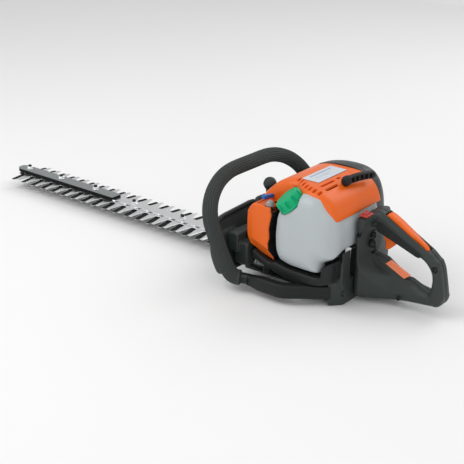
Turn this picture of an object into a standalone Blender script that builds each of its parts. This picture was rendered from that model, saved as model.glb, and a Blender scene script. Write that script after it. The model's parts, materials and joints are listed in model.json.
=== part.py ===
"""Petrol hedge trimmer with a double-sided blade, built as separate solids.

The blade points to -X, the rear handle to +X, the operator's left is -Y and the floor is Z = 0.
Sizes below are millimetres. Positions along X are measured from the foot of the front loop and
the whole machine is centred on X at the end.
"""
import bpy
import bmesh
from math import cos, pi, radians, sin, tau
from mathutils import Matrix, Vector

MM = 0.001
GAP = 0.3                  # clearance between pieces that touch

# Blade
PITCH = 31.0               # tooth spacing
TEETH = 21                 # teeth along each side
BLADE_T = 2.5
BLADE_Z = 21.0             # underside of the lower blade
SPINE_HALF = 15.0          # half width of the blade between its teeth
TOOTH_REACH = 48.0         # centre line to tooth tip
STUD_R = 3.0
STUD_PITCHES = (0.1, 3.4, 6.8, 10.4, 14.6)
STROKE_HALF = PITCH / 4.0  # each blade travels this far either way
BAR_T = 3.0
COVER_T = 5.0

# Gear case and drive
MODULE = 2.0
PINION_TEETH = 10
GEAR_TEETH = 34
CRANK_X = 95.0             # vertical crank axis
GEAR_X = CRANK_X - MODULE * (PINION_TEETH + GEAR_TEETH) / 2.0
CAM_R = 15.0
SHAFT_R = 4.0
WALL = 5.0
CASE_TOP = 56.0

# Engine
BORE_R = 17.0
THROW = 14.0
BARREL_Z = 114.0           # height of the cylinder's axis
DRUM_R = 29.0
FAN_R = 50.0
PULLEY_R = 24.0

# Body
BODY_TOP = 199.0
BODY_LEFT = -98.0          # left edge of the saddle over the tank
BODY_SPLIT = 44.0          # plane between the top shroud and the right cover
BODY_RIGHT = 88.0
SHELL_T = 2.6
TANK_LEFT = -112.0
TANK_INNER = -70.0
TANK_FRONT = 68.0
TANK_REAR = 184.0
CAP_R = 24.0

# Frame and handles
LOOP_HALF = 144.0          # half width between the leg centres
LOOP_TOP = 181.0           # height of the loop's centre line
LOOP_FOOT_X = 8.0
LOOP_FOOT_Z = 25.0
LOOP_LEAN = 0.46           # forward travel for each unit of rise
TUBE_R = 10.5
SLEEVE_R = 13.5
BAR_HALF_Y = 126.0
SPRING_Y = LOOP_HALF - 60.0    # centre line of each spring between the case and the front bracket
GRIP_HALF = 17.5           # half width of the rear handle
HANDLE_X = 188.0           # front face of the rear handle
SWIVEL_Z = 62.0
SPINDLE_R = 9.0
BRACKET_X = 168.0          # rear ends of the side bars
BEAM_TOP = 96.0
FLARE_HALF = 44.0          # half width of its front housing
GRIP_START = (223.0, 157.0)
GRIP_END = (318.0, 104.0)
HANDLE_END = 338.0

parts = bpy.data.collections.new("hedge_trimmer")
cutters = bpy.data.collections.new("cutters")
MATERIALS = {"charcoal": ((0.055, 0.062, 0.060), 0.55, 0.0), "black": ((0.015, 0.016, 0.016), 0.60, 0.0),
             "rubber": ((0.045, 0.050, 0.048), 0.80, 0.0), "orange": ((0.86, 0.16, 0.03), 0.38, 0.0),
             "tank": ((0.62, 0.65, 0.66), 0.45, 0.0), "green": ((0.0, 0.42, 0.16), 0.45, 0.0),
             "blue": ((0.02, 0.10, 0.42), 0.45, 0.0), "red": ((0.45, 0.03, 0.02), 0.45, 0.0),
             "clear": ((0.75, 0.74, 0.70), 0.25, 0.0), "steel": ((0.66, 0.67, 0.68), 0.28, 1.0),
             "grey_bar": ((0.30, 0.32, 0.32), 0.45, 0.6), "cast": ((0.42, 0.43, 0.44), 0.50, 0.9),
             "label": ((0.80, 0.81, 0.82), 0.40, 0.0),}


def clear_scene():
    for obj in list(bpy.data.objects):
        bpy.data.objects.remove(obj, do_unlink=True)
    bpy.context.scene.collection.children.link(parts)
    bpy.context.scene.collection.children.link(cutters)


def material(name):
    found = bpy.data.materials.get(name)
    if found:
        return found
    made = bpy.data.materials.new(name)
    made.use_nodes = True
    colour, rough, metal = MATERIALS[name]
    shader = made.node_tree.nodes["Principled BSDF"]
    shader.inputs["Base Color"].default_value = (*colour, 1.0)
    shader.inputs["Roughness"].default_value = rough
    shader.inputs["Metallic"].default_value = metal
    return made


def add(name, mesh, look, origin=(0.0, 0.0, 0.0)):
    """Link a mesh given in machine millimetres; its object sits at origin. No look makes a cutter."""
    mesh.transform(Matrix.Translation(-Vector(origin)))
    mesh.transform(Matrix.Scale(MM, 4))
    mesh.update()
    obj = bpy.data.objects.new(name, mesh)
    obj.location = Vector(origin) * MM
    if look is None:
        cutters.objects.link(obj)
        obj.hide_render = True
        obj.display_type = "WIRE"
    else:
        parts.objects.link(obj)
        mesh.materials.append(material(look))
    return obj


def mesh_from(bm, name):
    bmesh.ops.remove_doubles(bm, verts=bm.verts, dist=0.0005)
    bmesh.ops.recalc_face_normals(bm, faces=bm.faces)
    mesh = bpy.data.meshes.new(name)
    bm.to_mesh(mesh)
    bm.free()
    return mesh


def smooth(obj, degrees=35.0):
    obj.data.shade_smooth()
    obj.data.set_sharp_from_angle(angle=radians(degrees))
    return obj


def box(name, lo, hi, look=None, origin=(0.0, 0.0, 0.0), edge=0.0):
    bm = bmesh.new()
    size = Vector(hi) - Vector(lo)
    middle = (Vector(hi) + Vector(lo)) / 2.0
    frame = Matrix.Translation(middle) @ Matrix.Diagonal((*size, 1.0))
    bmesh.ops.create_cube(bm, size=1.0, matrix=frame)
    obj = add(name, mesh_from(bm, name), look, origin)
    if edge:
        bevel(obj, edge)
    return obj


def bar(name, start, end, r_start, r_end=None, look=None, steps=24, origin=(0.0, 0.0, 0.0)):
    """A cylinder or a cone between two points."""
    r_end = r_start if r_end is None else r_end
    a, b = Vector(start), Vector(end)
    turn = (b - a).to_track_quat("Z", "Y").to_matrix().to_4x4()
    bm = bmesh.new()
    bmesh.ops.create_cone(bm, cap_ends=True, segments=steps, radius1=r_start, radius2=r_end,
                          depth=(b - a).length, matrix=Matrix.Translation((a + b) / 2.0) @ turn)
    obj = add(name, mesh_from(bm, name), look, origin)
    return smooth(obj) if look else obj


def ball(name, centre, radius, look=None, origin=(0.0, 0.0, 0.0), steps=20):
    bm = bmesh.new()
    bmesh.ops.create_uvsphere(bm, u_segments=steps, v_segments=steps // 2, radius=radius,
                              matrix=Matrix.Translation(centre))
    return smooth(add(name, mesh_from(bm, name), look, origin))


def settle(source):
    """The evaluated mesh of a temporary object, in its own space, with the object removed."""
    graph = bpy.context.evaluated_depsgraph_get()
    graph.update()
    mesh = bpy.data.meshes.new_from_object(source.evaluated_get(graph), depsgraph=graph)
    mesh.transform(source.matrix_world)
    bpy.data.objects.remove(source, do_unlink=True)
    bm = bmesh.new()
    bm.from_mesh(mesh)
    return mesh_from(bm, mesh.name)


TURNS = {"x": Matrix(((0, 0, 1), (1, 0, 0), (0, 1, 0))), "y": Matrix(((1, 0, 0), (0, 0, -1), (0, 1, 0))),
         "z": Matrix(((1, 0, 0), (0, 1, 0), (0, 0, 1))),}


def prism(name, outlines, axis, lo, hi, look=None, origin=(0.0, 0.0, 0.0), edge=0.0):
    """Flat outlines pushed along an axis. Points are (y, z) for x, (x, z) for y and (x, y) for z."""
    curve = bpy.data.curves.new(name, "CURVE")
    curve.dimensions = "2D"
    curve.fill_mode = "BOTH"
    curve.extrude = (hi - lo) / 2.0
    for outline in outlines:
        spline = curve.splines.new("POLY")
        spline.points.add(len(outline) - 1)
        for point, (u, v) in zip(spline.points, outline):
            point.co = (u, v, 0.0, 1.0)
        spline.use_cyclic_u = True
    source = bpy.data.objects.new(name + "_outline", curve)
    bpy.context.scene.collection.objects.link(source)
    mesh = settle(source)
    mesh.transform(TURNS[axis].to_4x4())
    shift = {"x": Vector((1, 0, 0)), "y": Vector((0, 1, 0)), "z": Vector((0, 0, 1))}[axis]
    mesh.transform(Matrix.Translation(shift * (lo + hi) / 2.0))
    obj = add(name, mesh, look, origin)
    if edge:
        bevel(obj, edge)
    return obj


def turned(name, profile, centre, look=None, steps=32, axis="z", origin=(0.0, 0.0, 0.0)):
    """A profile of (radius, height) points turned about an axis through centre."""
    mesh = bpy.data.meshes.new(name)
    count = len(profile)
    closed = profile[0][0] > 0.0 and profile[-1][0] > 0.0
    edges = [(i, i + 1) for i in range(count - 1)] + ([(count - 1, 0)] if closed else [])
    mesh.from_pydata([(r, 0.0, h) for r, h in profile], edges, [])
    source = bpy.data.objects.new(name + "_profile", mesh)
    bpy.context.scene.collection.objects.link(source)
    screw = source.modifiers.new("turn", "SCREW")
    screw.steps = steps
    screw.render_steps = steps
    screw.use_merge_vertices = True
    screw.merge_threshold = 0.0001
    made = settle(source)
    if axis == "x":
        made.transform(Matrix.Rotation(pi / 2.0, 4, "Y"))
    if axis == "y":
        made.transform(Matrix.Rotation(-pi / 2.0, 4, "X"))
    made.transform(Matrix.Translation(centre))
    obj = add(name, made, look, origin)
    return smooth(obj) if look else obj


def tube(name, points, radius, look=None, cyclic=False, resolution=3, origin=(0.0, 0.0, 0.0)):
    """A round rod along a path of points."""
    curve = bpy.data.curves.new(name, "CURVE")
    curve.dimensions = "3D"
    curve.bevel_depth = radius
    curve.bevel_resolution = resolution
    curve.use_fill_caps = True
    spline = curve.splines.new("POLY")
    spline.points.add(len(points) - 1)
    for point, place in zip(spline.points, points):
        point.co = (*place, 1.0)
    spline.use_cyclic_u = cyclic
    source = bpy.data.objects.new(name + "_path", curve)
    bpy.context.scene.collection.objects.link(source)
    obj = add(name, settle(source), look, origin)
    return smooth(obj) if look else obj


def bevel(obj, width, segments=2, limit=40.0):
    mod = obj.modifiers.new("edge", "BEVEL")
    mod.width = width * MM
    mod.segments = segments
    mod.limit_method = "ANGLE"
    mod.angle_limit = radians(limit)
    mod.use_clamp_overlap = True
    return smooth(obj)


def combine(obj, other, operation):
    mod = obj.modifiers.new(operation.lower(), "BOOLEAN")
    mod.operation = operation
    mod.object = other
    return obj


def cut(obj, *others):
    for other in others:
        combine(obj, other, "DIFFERENCE")
    return obj


def join(obj, *others):
    for other in others:
        combine(obj, other, "UNION")
    return obj


def pivot(name, place):
    empty = bpy.data.objects.new(name, None)
    empty.location = Vector(place) * MM
    parts.objects.link(empty)
    return empty


def hang(child, parent):
    """Parent without moving the child."""
    child.parent = parent
    child.matrix_parent_inverse = Matrix.Translation(-parent.location)


def arc(cx, cy, radius, start, stop, count):
    """Points on a circle from one angle to another, in degrees."""
    return [(cx + radius * cos(radians(start + (stop - start) * i / count)),
             cy + radius * sin(radians(start + (stop - start) * i / count))) for i in range(count + 1)]


def slot(cx, cy, half_length, half_width, count=6):
    """A round-ended slot lying along X."""
    run = half_length - half_width
    return arc(cx + run, cy, half_width, -90, 90, count) + arc(cx - run, cy, half_width, 90, 270, count)


def gear_outline(cx, cy, teeth, module, phase=0.0):
    """Straight-sided teeth, narrow enough to run with clearance on both flanks."""
    points = []
    middle = module * teeth / 2.0
    for k in range(teeth):
        for share, radius in ((-0.25, middle - 1.25 * module), (-0.11, middle + 0.8 * module),
                              (0.11, middle + 0.8 * module), (0.25, middle - 1.25 * module)):
            angle = tau * (k + share + phase) / teeth
            points.append((cx + radius * cos(angle), cy + radius * sin(angle)))
    return points


def tooth_x(n):
    return (n - TEETH - 1) * PITCH


# Heights of the stacked blade pieces
LOWER = (BLADE_Z, BLADE_Z + BLADE_T)
UPPER = (LOWER[1] + GAP, LOWER[1] + GAP + BLADE_T)
BAR = (UPPER[1] + GAP, UPPER[1] + GAP + BAR_T)
COVER = (BAR[1] + GAP, BAR[1] + GAP + COVER_T)
CASE_FRONT = GEAR_X - CAM_R - 2 * STROKE_HALF - 2 * WALL - 45.0
CASE_REAR = CRANK_X + 23.0
CASE_HALF = MODULE * GEAR_TEETH / 2.0 + 1.6 + 2 * WALL + 4.0
BLADE_FRONT = tooth_x(-0.9)
RING_X = GEAR_X - STROKE_HALF   # centre of the lower blade's ring with the blade fully forward
STUD_X = [tooth_x(n) for n in STUD_PITCHES]


def blade_outline():
    """Teeth on both sides of a spine, then a neck that widens into the ring round the cam."""
    side = []
    for n in range(TEETH):
        x = tooth_x(n)
        side += [(x - 0.30 * PITCH, SPINE_HALF), (x - 0.12 * PITCH, TOOTH_REACH),
                 (x + 0.12 * PITCH, TOOTH_REACH), (x + 0.30 * PITCH, SPINE_HALF)]
    ring_x = CAM_R + 2 * STROKE_HALF + 0.5 + 7.0
    ring_y = CAM_R + STROKE_HALF + 0.5 + 7.0
    neck = RING_X - ring_x
    tail = [(tooth_x(TEETH) - 4.0, SPINE_HALF), (neck - 2.0, SPINE_HALF), (neck + 8.0, ring_y),
            (RING_X + ring_x - 8.0, ring_y), (RING_X + ring_x, ring_y - 8.0)]
    half = [(BLADE_FRONT + 6.0, 10.0)] + side + tail
    return half + [(x, -y) for x, y in reversed(half)]


def build_blades():
    """The lower blade stands fully forward and the upper one, its copy, half a pitch behind it."""
    ring_hole = slot(RING_X, 0.0, CAM_R + 2 * STROKE_HALF + 0.5, CAM_R + STROKE_HALF + 0.5, 10)
    slots = [slot(x - STROKE_HALF, 0.0, STUD_R + STROKE_HALF + 0.4, STUD_R + 0.4) for x in STUD_X]
    outlines = [blade_outline(), ring_hole] + slots
    behind = [[(x + 2 * STROKE_HALF, y) for x, y in outline] for outline in outlines]
    prism("blade_lower", outlines, "z", *LOWER, "steel")
    prism("blade_upper", behind, "z", *UPPER, "steel")
    front = [(BLADE_FRONT + 2.0 + r, y) for r, y in ((6.0, -12.0), (1.5, -8.0), (0.0, 0.0), (1.5, 8.0),
                                                     (6.0, 12.0))]
    holes = [arc(x, 0.0, STUD_R + GAP, 0, 315, 7) for x in STUD_X]
    rear = [(CASE_FRONT + WALL + 6.0, 12.0), (CASE_FRONT + WALL + 6.0, -12.0)]
    prism("guide_bar", [list(reversed(front)) + [(rear[1][0], -12.0), rear[0]]] + holes, "z", *BAR,
          "steel")
    nose = arc(BLADE_FRONT + 13.0, 0.0, 13.0, 90, 270, 8)
    end = tooth_x(8.8)
    prism("bar_cover", [nose + [(end, -13.0), (end, 13.0)]] + holes[:3], "z", *COVER, "grey_bar")
    for k, x in enumerate(STUD_X):
        seat = (COVER[1] if k < 3 else BAR[1]) + GAP
        shank = STUD_R
        profile = [(0.0, seat + 8.5), (shank, seat + 8.0), (shank, seat + 5.2), (6.2, seat + 5.2),
                   (6.2, seat + 1.2), (8.0, seat + 1.2), (8.0, seat), (shank, seat),
                   (shank, LOWER[0] - GAP), (6.5, LOWER[0] - GAP), (6.5, LOWER[0] - 3.0),
                   (0.0, LOWER[0] - 3.0)]
        turned(f"blade_stud_{k + 1}", profile, (x, 0.0, 0.0), "steel", 12)


def build_gear_case():
    cover = box("gear_cover", (CASE_FRONT, -CASE_HALF, 0.0), (CASE_REAR, CASE_HALF, WALL), "black",
                edge=1.5)
    cut(cover, bar("cover_bore", (GEAR_X, 0, -1), (GEAR_X, 0, WALL + 1), SHAFT_R + GAP))
    case = box("gear_housing", (CASE_FRONT, -CASE_HALF, WALL + GAP), (CASE_REAR, CASE_HALF, CASE_TOP),
               "black", edge=2.0)
    inside = box("housing_cavity", (CASE_FRONT + WALL, WALL - CASE_HALF, 0.0),
                 (CASE_REAR - WALL, CASE_HALF - WALL, CASE_TOP - 6.0))
    mouth = box("housing_mouth", (CASE_FRONT - 5.0, -SPINE_HALF - 3.0, LOWER[0] - 1.0),
                (CASE_FRONT + WALL + 5.0, SPINE_HALF + 3.0, BAR[1] + 1.0))
    gear_bore = bar("gear_bore", (GEAR_X, 0, 40), (GEAR_X, 0, CASE_TOP + 1), SHAFT_R + GAP)
    drum_bore = bar("pinion_bore", (CRANK_X, 0, 40), (CRANK_X, 0, CASE_TOP + 1), 5.0 + GAP)
    cut(case, inside, mouth, gear_bore, drum_bore)

    axis = pivot("gear_axis", (GEAR_X, 0.0, 0.0))
    low, high = 36.0, 43.0
    gear = prism("drive_gear", [gear_outline(GEAR_X, 0.0, GEAR_TEETH, MODULE)], "z", low, high, "steel")
    join(gear, bar("gear_shaft", (GEAR_X, 0, 1.0), (GEAR_X, 0, CASE_TOP - 1.0), SHAFT_R, steps=20))
    hang(gear, axis)
    for name, side, (low, high) in (("eccentric_lower", -1, LOWER), ("eccentric_upper", 1, UPPER)):
        hole = arc(GEAR_X, 0.0, SHAFT_R + GAP, 0, 345, 23)
        disc = arc(GEAR_X + side * STROKE_HALF, 0.0, CAM_R, 0, 350, 35)
        hang(prism(name, [disc, hole], "z", low + 0.1, high - 0.1, "steel"), axis)

    crank = pivot("crank_axis", (CRANK_X, 0.0, 0.0))
    phase = 0.5 if PINION_TEETH % 2 == 0 else 0.0
    pinion = prism("clutch_drum", [gear_outline(CRANK_X, 0.0, PINION_TEETH, MODULE, phase)], "z", 36.0,
                   43.0, "steel")
    drum = turned("drum_body", [(0.0, 61.5), (DRUM_R - 2.5, 61.5), (DRUM_R - 2.5, 74.0), (DRUM_R, 74.0),
                                (DRUM_R, 59.0), (5.0, 59.0), (5.0, 42.0), (0.0, 42.0)], (CRANK_X, 0, 0),
                  steps=32)
    join(pinion, drum)
    hang(pinion, crank)
    for name, start in (("clutch_shoe_left", 200), ("clutch_shoe_right", 20)):
        outer = arc(CRANK_X, 0.0, DRUM_R - 3.2, start, start + 140, 14)
        inner = arc(CRANK_X, 0.0, 8.0, start + 140, start, 8)
        hang(prism(name, [outer + inner], "z", 62.5, 72.5, "cast"), crank)


def build_engine():
    crank = bpy.data.objects["crank_axis"]
    z = BARREL_Z
    web = THROW + 7.0
    case_r = web + 13.0
    case = turned("crankcase", [(case_r, 148.0), (case_r, CASE_TOP + GAP), (DRUM_R + 1.5, CASE_TOP + GAP),
                                (DRUM_R + 1.5, 77.0), (6.4, 77.0), (6.4, z - 17.0), (web + 2.0, z - 17.0),
                                (web + 2.0, z + 17.0), (6.4, z + 17.0), (6.4, 148.0)], (CRANK_X, 0, 0),
                  "cast", 32)
    mouth_x = CRANK_X - case_r - 2.0
    cut(case, bar("crankcase_mouth", (mouth_x - 5.0, 0, z), (CRANK_X - 10.0, 0, z), BORE_R + 1.0,
                  steps=28))
    shaft = turned("crankshaft", [(0.0, 178.0), (6.0, 178.0), (6.0, z + 14.0), (web, z + 14.0),
                                  (web, z + 6.0), (0.0, z + 6.0)], (CRANK_X, 0, 0), "steel", 28)
    lower = turned("crank_lower", [(0.0, z - 6.0), (web, z - 6.0), (web, z - 14.0), (6.0, z - 14.0),
                                   (6.0, 63.0), (0.0, 63.0)], (CRANK_X, 0, 0), steps=28)
    pin = bar("crank_pin", (CRANK_X, THROW, z - 8.0), (CRANK_X, THROW, z + 8.0), 5.0, steps=16)
    join(shaft, pin, lower)
    hang(shaft, crank)

    head_x = mouth_x - 0.3 - 2 * THROW - 27.0
    depth = BORE_R + 4.5
    reach = BORE_R + 15.0
    cylinder = box("cylinder", (head_x, -depth, z - depth), (mouth_x - 0.3, depth, z + depth), "cast")
    fins = 8
    step = (mouth_x - head_x - 5.0) / fins
    for k in range(fins):
        x = head_x + 2.0 + step * k
        join(cylinder, box(f"fin_{k}", (x, -reach, z - reach), (x + 2.2, reach, z + reach)))
    bore = turned("cylinder_bore", [(0.0, mouth_x + 2.0 - head_x), (BORE_R, mouth_x + 2.0 - head_x),
                                    (BORE_R, 6.0), (5.3, 6.0), (5.3, -2.0), (0.0, -2.0)], (head_x, 0, z),
                  steps=30, axis="x")
    port_x = mouth_x - 14.0
    inlet = bar("inlet_port", (port_x + 0.4, -reach - 2.0, z + 0.3), (port_x + 0.4, -2.0, z + 0.3), 7.0,
                steps=18)
    outlet = bar("outlet_port", (port_x + 0.4, reach + 2.0, z + 0.3), (port_x + 0.4, 2.0, z + 0.3), 7.0,
                 steps=18)
    cut(cylinder, bore, inlet, outlet)
    crown = head_x + 7.0 + THROW
    turned("piston", [(0.0, 26.0), (9.0, 26.0), (9.0, 8.0), (13.0, 8.0), (13.0, 26.0),
                      (BORE_R - 0.4, 26.0), (BORE_R - 0.4, 0.0), (0.0, 0.0)], (crown, 0, z), "cast", 28,
           "x", (crown, 0, z))
    turned("spark_plug", [(0.0, 6.4), (5.0, 6.4), (5.0, -GAP), (9.0, -GAP), (9.0, -8.0), (5.0, -8.0),
                          (5.0, -20.0), (0.0, -20.0)], (head_x, 0, z), "label", 16, "x")
    cap_x = head_x - 24.0
    boot = bar("plug_cap", (cap_x, 0, z - 9.0), (cap_x, 0, z + 36.0), 8.5, 7.5, "black", 20)
    join(boot, bar("boot_elbow", (cap_x + 1.0, 0, z), (head_x - 8.6, 0, z), 8.0, steps=20),
         ball("boot_head", (cap_x + 1.0, 0, z + 37.0), 11.5, steps=16))
    cut(boot, bar("boot_bore", (head_x - 20.6, 0, z), (head_x - 5.0, 0, z), 5.0 + GAP, steps=18))

    disc = [(6.0 + GAP, 156.0), (FAN_R, 156.0), (FAN_R, 152.0), (6.0 + GAP, 152.0)]
    fan = turned("flywheel", disc, (CRANK_X, 0, 0), "cast", 40)
    vanes = []
    for k in range(12):
        for share, radius in ((-0.5, 20.0), (-0.10, 20.0), (-0.04, FAN_R - 2.0), (0.04, FAN_R - 2.0),
                              (0.10, 20.0)):
            angle = tau * (k + share) / 12
            vanes.append((CRANK_X + radius * cos(angle), radius * sin(angle)))
    hole = arc(CRANK_X, 0.0, 6.0 + GAP, 0, 345, 23)
    join(fan, prism("fan_vanes", [vanes, hole], "z", 155.0, 170.0))
    hang(fan, crank)
    turned("starter_pulley", [(PULLEY_R, 190.0), (PULLEY_R, 188.0), (PULLEY_R - 3.0, 187.0),
                              (PULLEY_R - 3.0, 183.0), (PULLEY_R, 182.0), (PULLEY_R, 180.0), (5.0, 180.0),
                              (5.0, 190.0)], (CRANK_X, 0, 0), "black", 32, origin=(CRANK_X, 0, 180.0))

    side = BORE_R + 15.0 + 1.0
    muffler = box("muffler", (port_x - 26.0, side, z - 30.0),
                  (port_x + 20.0, BODY_RIGHT - SHELL_T - 6.0, z + 26.0), "steel", edge=5.0)
    cut(muffler, bar("muffler_inlet", (port_x, side - 1.0, z), (port_x, side + 20.0, z), 7.0, steps=20))
    join_y = -side
    carb = box("carburettor", (port_x - 16.0, join_y - 20.0, z - 16.0), (port_x + 14.0, join_y, z + 16.0),
               "cast", edge=2.0)
    cut(carb, bar("carb_throat", (port_x, join_y - 22.0, z), (port_x, join_y + 2.0, z), 7.0, steps=20))
    return port_x, join_y - 20.0


def build_intake(port_x, back_y):
    z = BARREL_Z
    x0, x1 = port_x - 31.0, TANK_FRONT - 4.0
    filter_y = back_y - 1.0
    air = box("air_filter", (x0 + 10.0, filter_y - 14.0, z - 20.0), (x1 - 12.0, filter_y, z + 24.0),
              "label", edge=2.0)
    cut(air, bar("filter_throat", (port_x, filter_y - 8.0, z), (port_x, filter_y + 2.0, z), 8.0,
                 steps=20))
    left = TANK_LEFT + 5.0
    outline = [(x0, z + 26.0), (x0 - 2.0, z + 8.0), (x0 - 1.0, z - 16.0), (x0 + 6.0, z - 36.0),
               (x0 + 22.0, z - 50.0), (x1 + 2.0, z - 58.0), (x1 - 6.0, z - 24.0), (x1, z + 30.0),
               (x1 - 6.0, z + 40.0), (x0 + 12.0, z + 42.0)]
    cover = prism("filter_cover", [outline], "y", left, filter_y + 0.5, "orange", edge=3.0)
    cx = sum(p[0] for p in outline) / len(outline)
    cz = sum(p[1] for p in outline) / len(outline)
    inner = [(cx + (px - cx) * 0.84, cz + (pz - cz) * 0.92) for px, pz in outline]
    cut(cover, prism("filter_space", [inner], "y", left + SHELL_T, filter_y + 6.0))
    notch = box("shroud_notch", (-10.0, TANK_INNER - 10.0, 90.0),
                (TANK_FRONT + 4.0, filter_y + 12.0, z + 52.0))
    knob_x = x0 + 24.0
    top = z + 42.0
    box("choke_lever", (knob_x - 3.0, left + 14.0, top + GAP), (knob_x + 3.0, left + 44.0, top + 7.0),
        "blue", origin=(knob_x, left + 44.0, top + GAP), edge=1.2)
    bulb_x = x1 - 10.0
    turned("primer_bulb", [(0.0, 10.0), (4.0, 9.2), (7.0, 6.5), (8.0, 1.0), (8.0, 0.0), (0.0, 0.0)],
           (bulb_x, left + 12.0, top - 1.5), "clear", 20, origin=(bulb_x, left + 12.0, top - 1.5))
    cut(cover, bar("bulb_hole", (bulb_x, left + 12.0, top - 8.0), (bulb_x, left + 12.0, top + 5.0), 8.6,
                   steps=20))
    return notch


SHROUD = ((10.0, BODY_TOP - 50.0), (13.0, BODY_TOP - 41.0), (38.0, BODY_TOP - 17.0),
          (62.0, BODY_TOP - 4.0), (90.0, BODY_TOP), (138.0, BODY_TOP), (158.0, BODY_TOP - 6.0),
          (173.0, BODY_TOP - 19.0), (181.0, BODY_TOP - 36.0), (183.0, BODY_TOP - 44.0))


def inset(points, distance):
    """Move an open profile towards the inside, which is below and between its ends."""
    centre_x = sum(p[0] for p in points) / len(points)
    moved = []
    for k, (x, z) in enumerate(points):
        before = Vector(points[max(k - 1, 0)])
        after = Vector(points[min(k + 1, len(points) - 1)])
        along = (after - before).normalized()
        inward = Vector((along.y, -along.x))
        if inward.x * (centre_x - x) + inward.y * (120.0 - z) < 0.0:
            inward = -inward
        moved.append((x + inward.x * distance, z + inward.y * distance))
    return moved


def shell(name, profile, y0, y1, look, floor, open_high=False, open_low=False, edge=2.0):
    """A bent sheet closed by side walls, open underneath and on the chosen sides."""
    obj = prism(name, [list(profile)], "y", y0, y1, look, edge=edge)
    inner = inset(list(profile), SHELL_T)
    first, last = inner[0], inner[-1]
    space = [(first[0], floor)] + inner + [(last[0], floor)]
    a = y0 - 5.0 if open_low else y0 + SHELL_T
    b = y1 + 5.0 if open_high else y1 - SHELL_T
    return cut(obj, prism(name + "_space", [space], "y", a, b))


def build_body(notch):
    top = shell("top_shroud", SHROUD, TANK_INNER + 3.0, BODY_SPLIT, "orange", 100.0, open_high=True,
                edge=2.5)
    saddle = [p for p in SHROUD if p[0] > 130.0]
    saddle_out = saddle + [(p[0], p[1]) for p in reversed(inset(saddle, SHELL_T))]
    wing = prism("saddle_wing", [saddle_out], "y", BODY_LEFT, TANK_INNER + 4.5)
    join(top, wing)
    under = [p for p in inset(list(SHROUD), SHELL_T + 0.4) if p[0] > 130.0]
    over_tank = prism("wall_gap", [[(under[0][0], 100.0)] + under + [(under[-1][0], 100.0)]], "y",
                      TANK_INNER - 4.0, TANK_INNER + 8.0)
    cut(top, notch, over_tank)
    for k in range(7):
        x = 70.0 + 9.0 * k
        cut(top, box(f"short_slot_{k}", (x, -63.5, BODY_TOP - 20.0), (x + 4.0, -51.0, BODY_TOP + 20.0)))
    for k in range(2):
        x = 125.0 + 9.0 * k
        cut(top, box(f"long_slot_{k}", (x, -50.0 + 6.0 * k, BODY_TOP - 20.0),
                     (x + 4.5, -14.0, BODY_TOP + 20.0)))
    box("top_label", (90.5, -48.0, BODY_TOP + GAP), (121.0, 28.0, BODY_TOP + GAP + 0.8), "label")
    top_z = BODY_TOP
    dome = ((10.0, 84.0), (8.0, 146.0), (24.0, top_z - 26.0), (58.0, top_z - 6.0), (92.0, top_z + 1.5),
            (130.0, top_z + 1.5), (150.0, top_z - 6.0), (163.0, top_z - 20.0), (170.0, top_z - 44.0),
            (172.0, 118.0), (168.0, 84.0))
    right = shell("right_cover", dome, BODY_SPLIT + GAP, BODY_RIGHT, "charcoal", 40.0, open_low=True,
                  edge=6.0)
    for k in range(4):
        z = 110.0 + 12.0 * k
        cut(right, box(f"exhaust_slot_{k}", (-5.0, BODY_SPLIT + 14.0, z),
                       (30.0, BODY_RIGHT - 14.0, z + 5.0)))

    tank_profile = [(TANK_FRONT + 10.0, 66.0), (TANK_FRONT + 2.0, 78.0), (TANK_FRONT, 110.0),
                    (TANK_FRONT + 3.0, 142.0), (TANK_FRONT + 15.0, 168.0), (TANK_FRONT + 36.0, 186.0),
                    (TANK_FRONT + 60.0, 193.0), (TANK_FRONT + 84.0, 190.0), (TANK_REAR - 20.0, 178.0),
                    (TANK_REAR - 7.0, 160.0), (TANK_REAR, 140.0), (TANK_REAR, 88.0),
                    (TANK_REAR - 8.0, 72.0), (TANK_REAR - 26.0, 64.0)]
    tray = [(60.0, 54.0), (66.0, 38.0), (108.0, 34.0), (148.0, 42.0), (156.0, 60.0), (100.0, 60.0)]
    prism("engine_tray", [tray], "y", 8.0 + TANK_LEFT, -CASE_HALF - GAP, "black", edge=2.0)
    tank = prism("fuel_tank", [tank_profile], "y", TANK_LEFT, TANK_INNER, "tank", edge=14.0)
    rear_profile = [(x, z) for x, z in tank_profile if x > 150.0]
    rear = prism("tank_rear", [[(153.0, 97.0), (153.0, 186.0)] + rear_profile[1:4] + [(TANK_REAR, 97.0)]],
                 "y", TANK_INNER - 20.0, BODY_SPLIT - 2.0)
    join(tank, rear)


def build_cap():
    axis = Vector((-0.55, -0.35, 0.75)).normalized()
    seat = Vector((TANK_FRONT + 36.0, -92.0, 164.0))
    neck = bar("tank_neck", seat - axis * 14.0, seat + axis * 4.0, CAP_R - 4.0, steps=32)
    room = bar("cap_room", seat + axis * 3.0, seat + axis * 60.0, CAP_R + 1.5, steps=32)
    tank = cut(bpy.data.objects["fuel_tank"], room)
    join(tank, neck)
    base = seat + axis * (4.0 + GAP)
    cap = bar("fuel_cap", base, base + axis * 20.0, CAP_R, CAP_R - 2.0, "green", 32, tuple(base))
    return cap


def loop_point(y, rise):
    """A point in the loop's leaning plane, rise above the foot."""
    return (LOOP_FOOT_X - LOOP_LEAN * rise, y, LOOP_FOOT_Z + rise)


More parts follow.
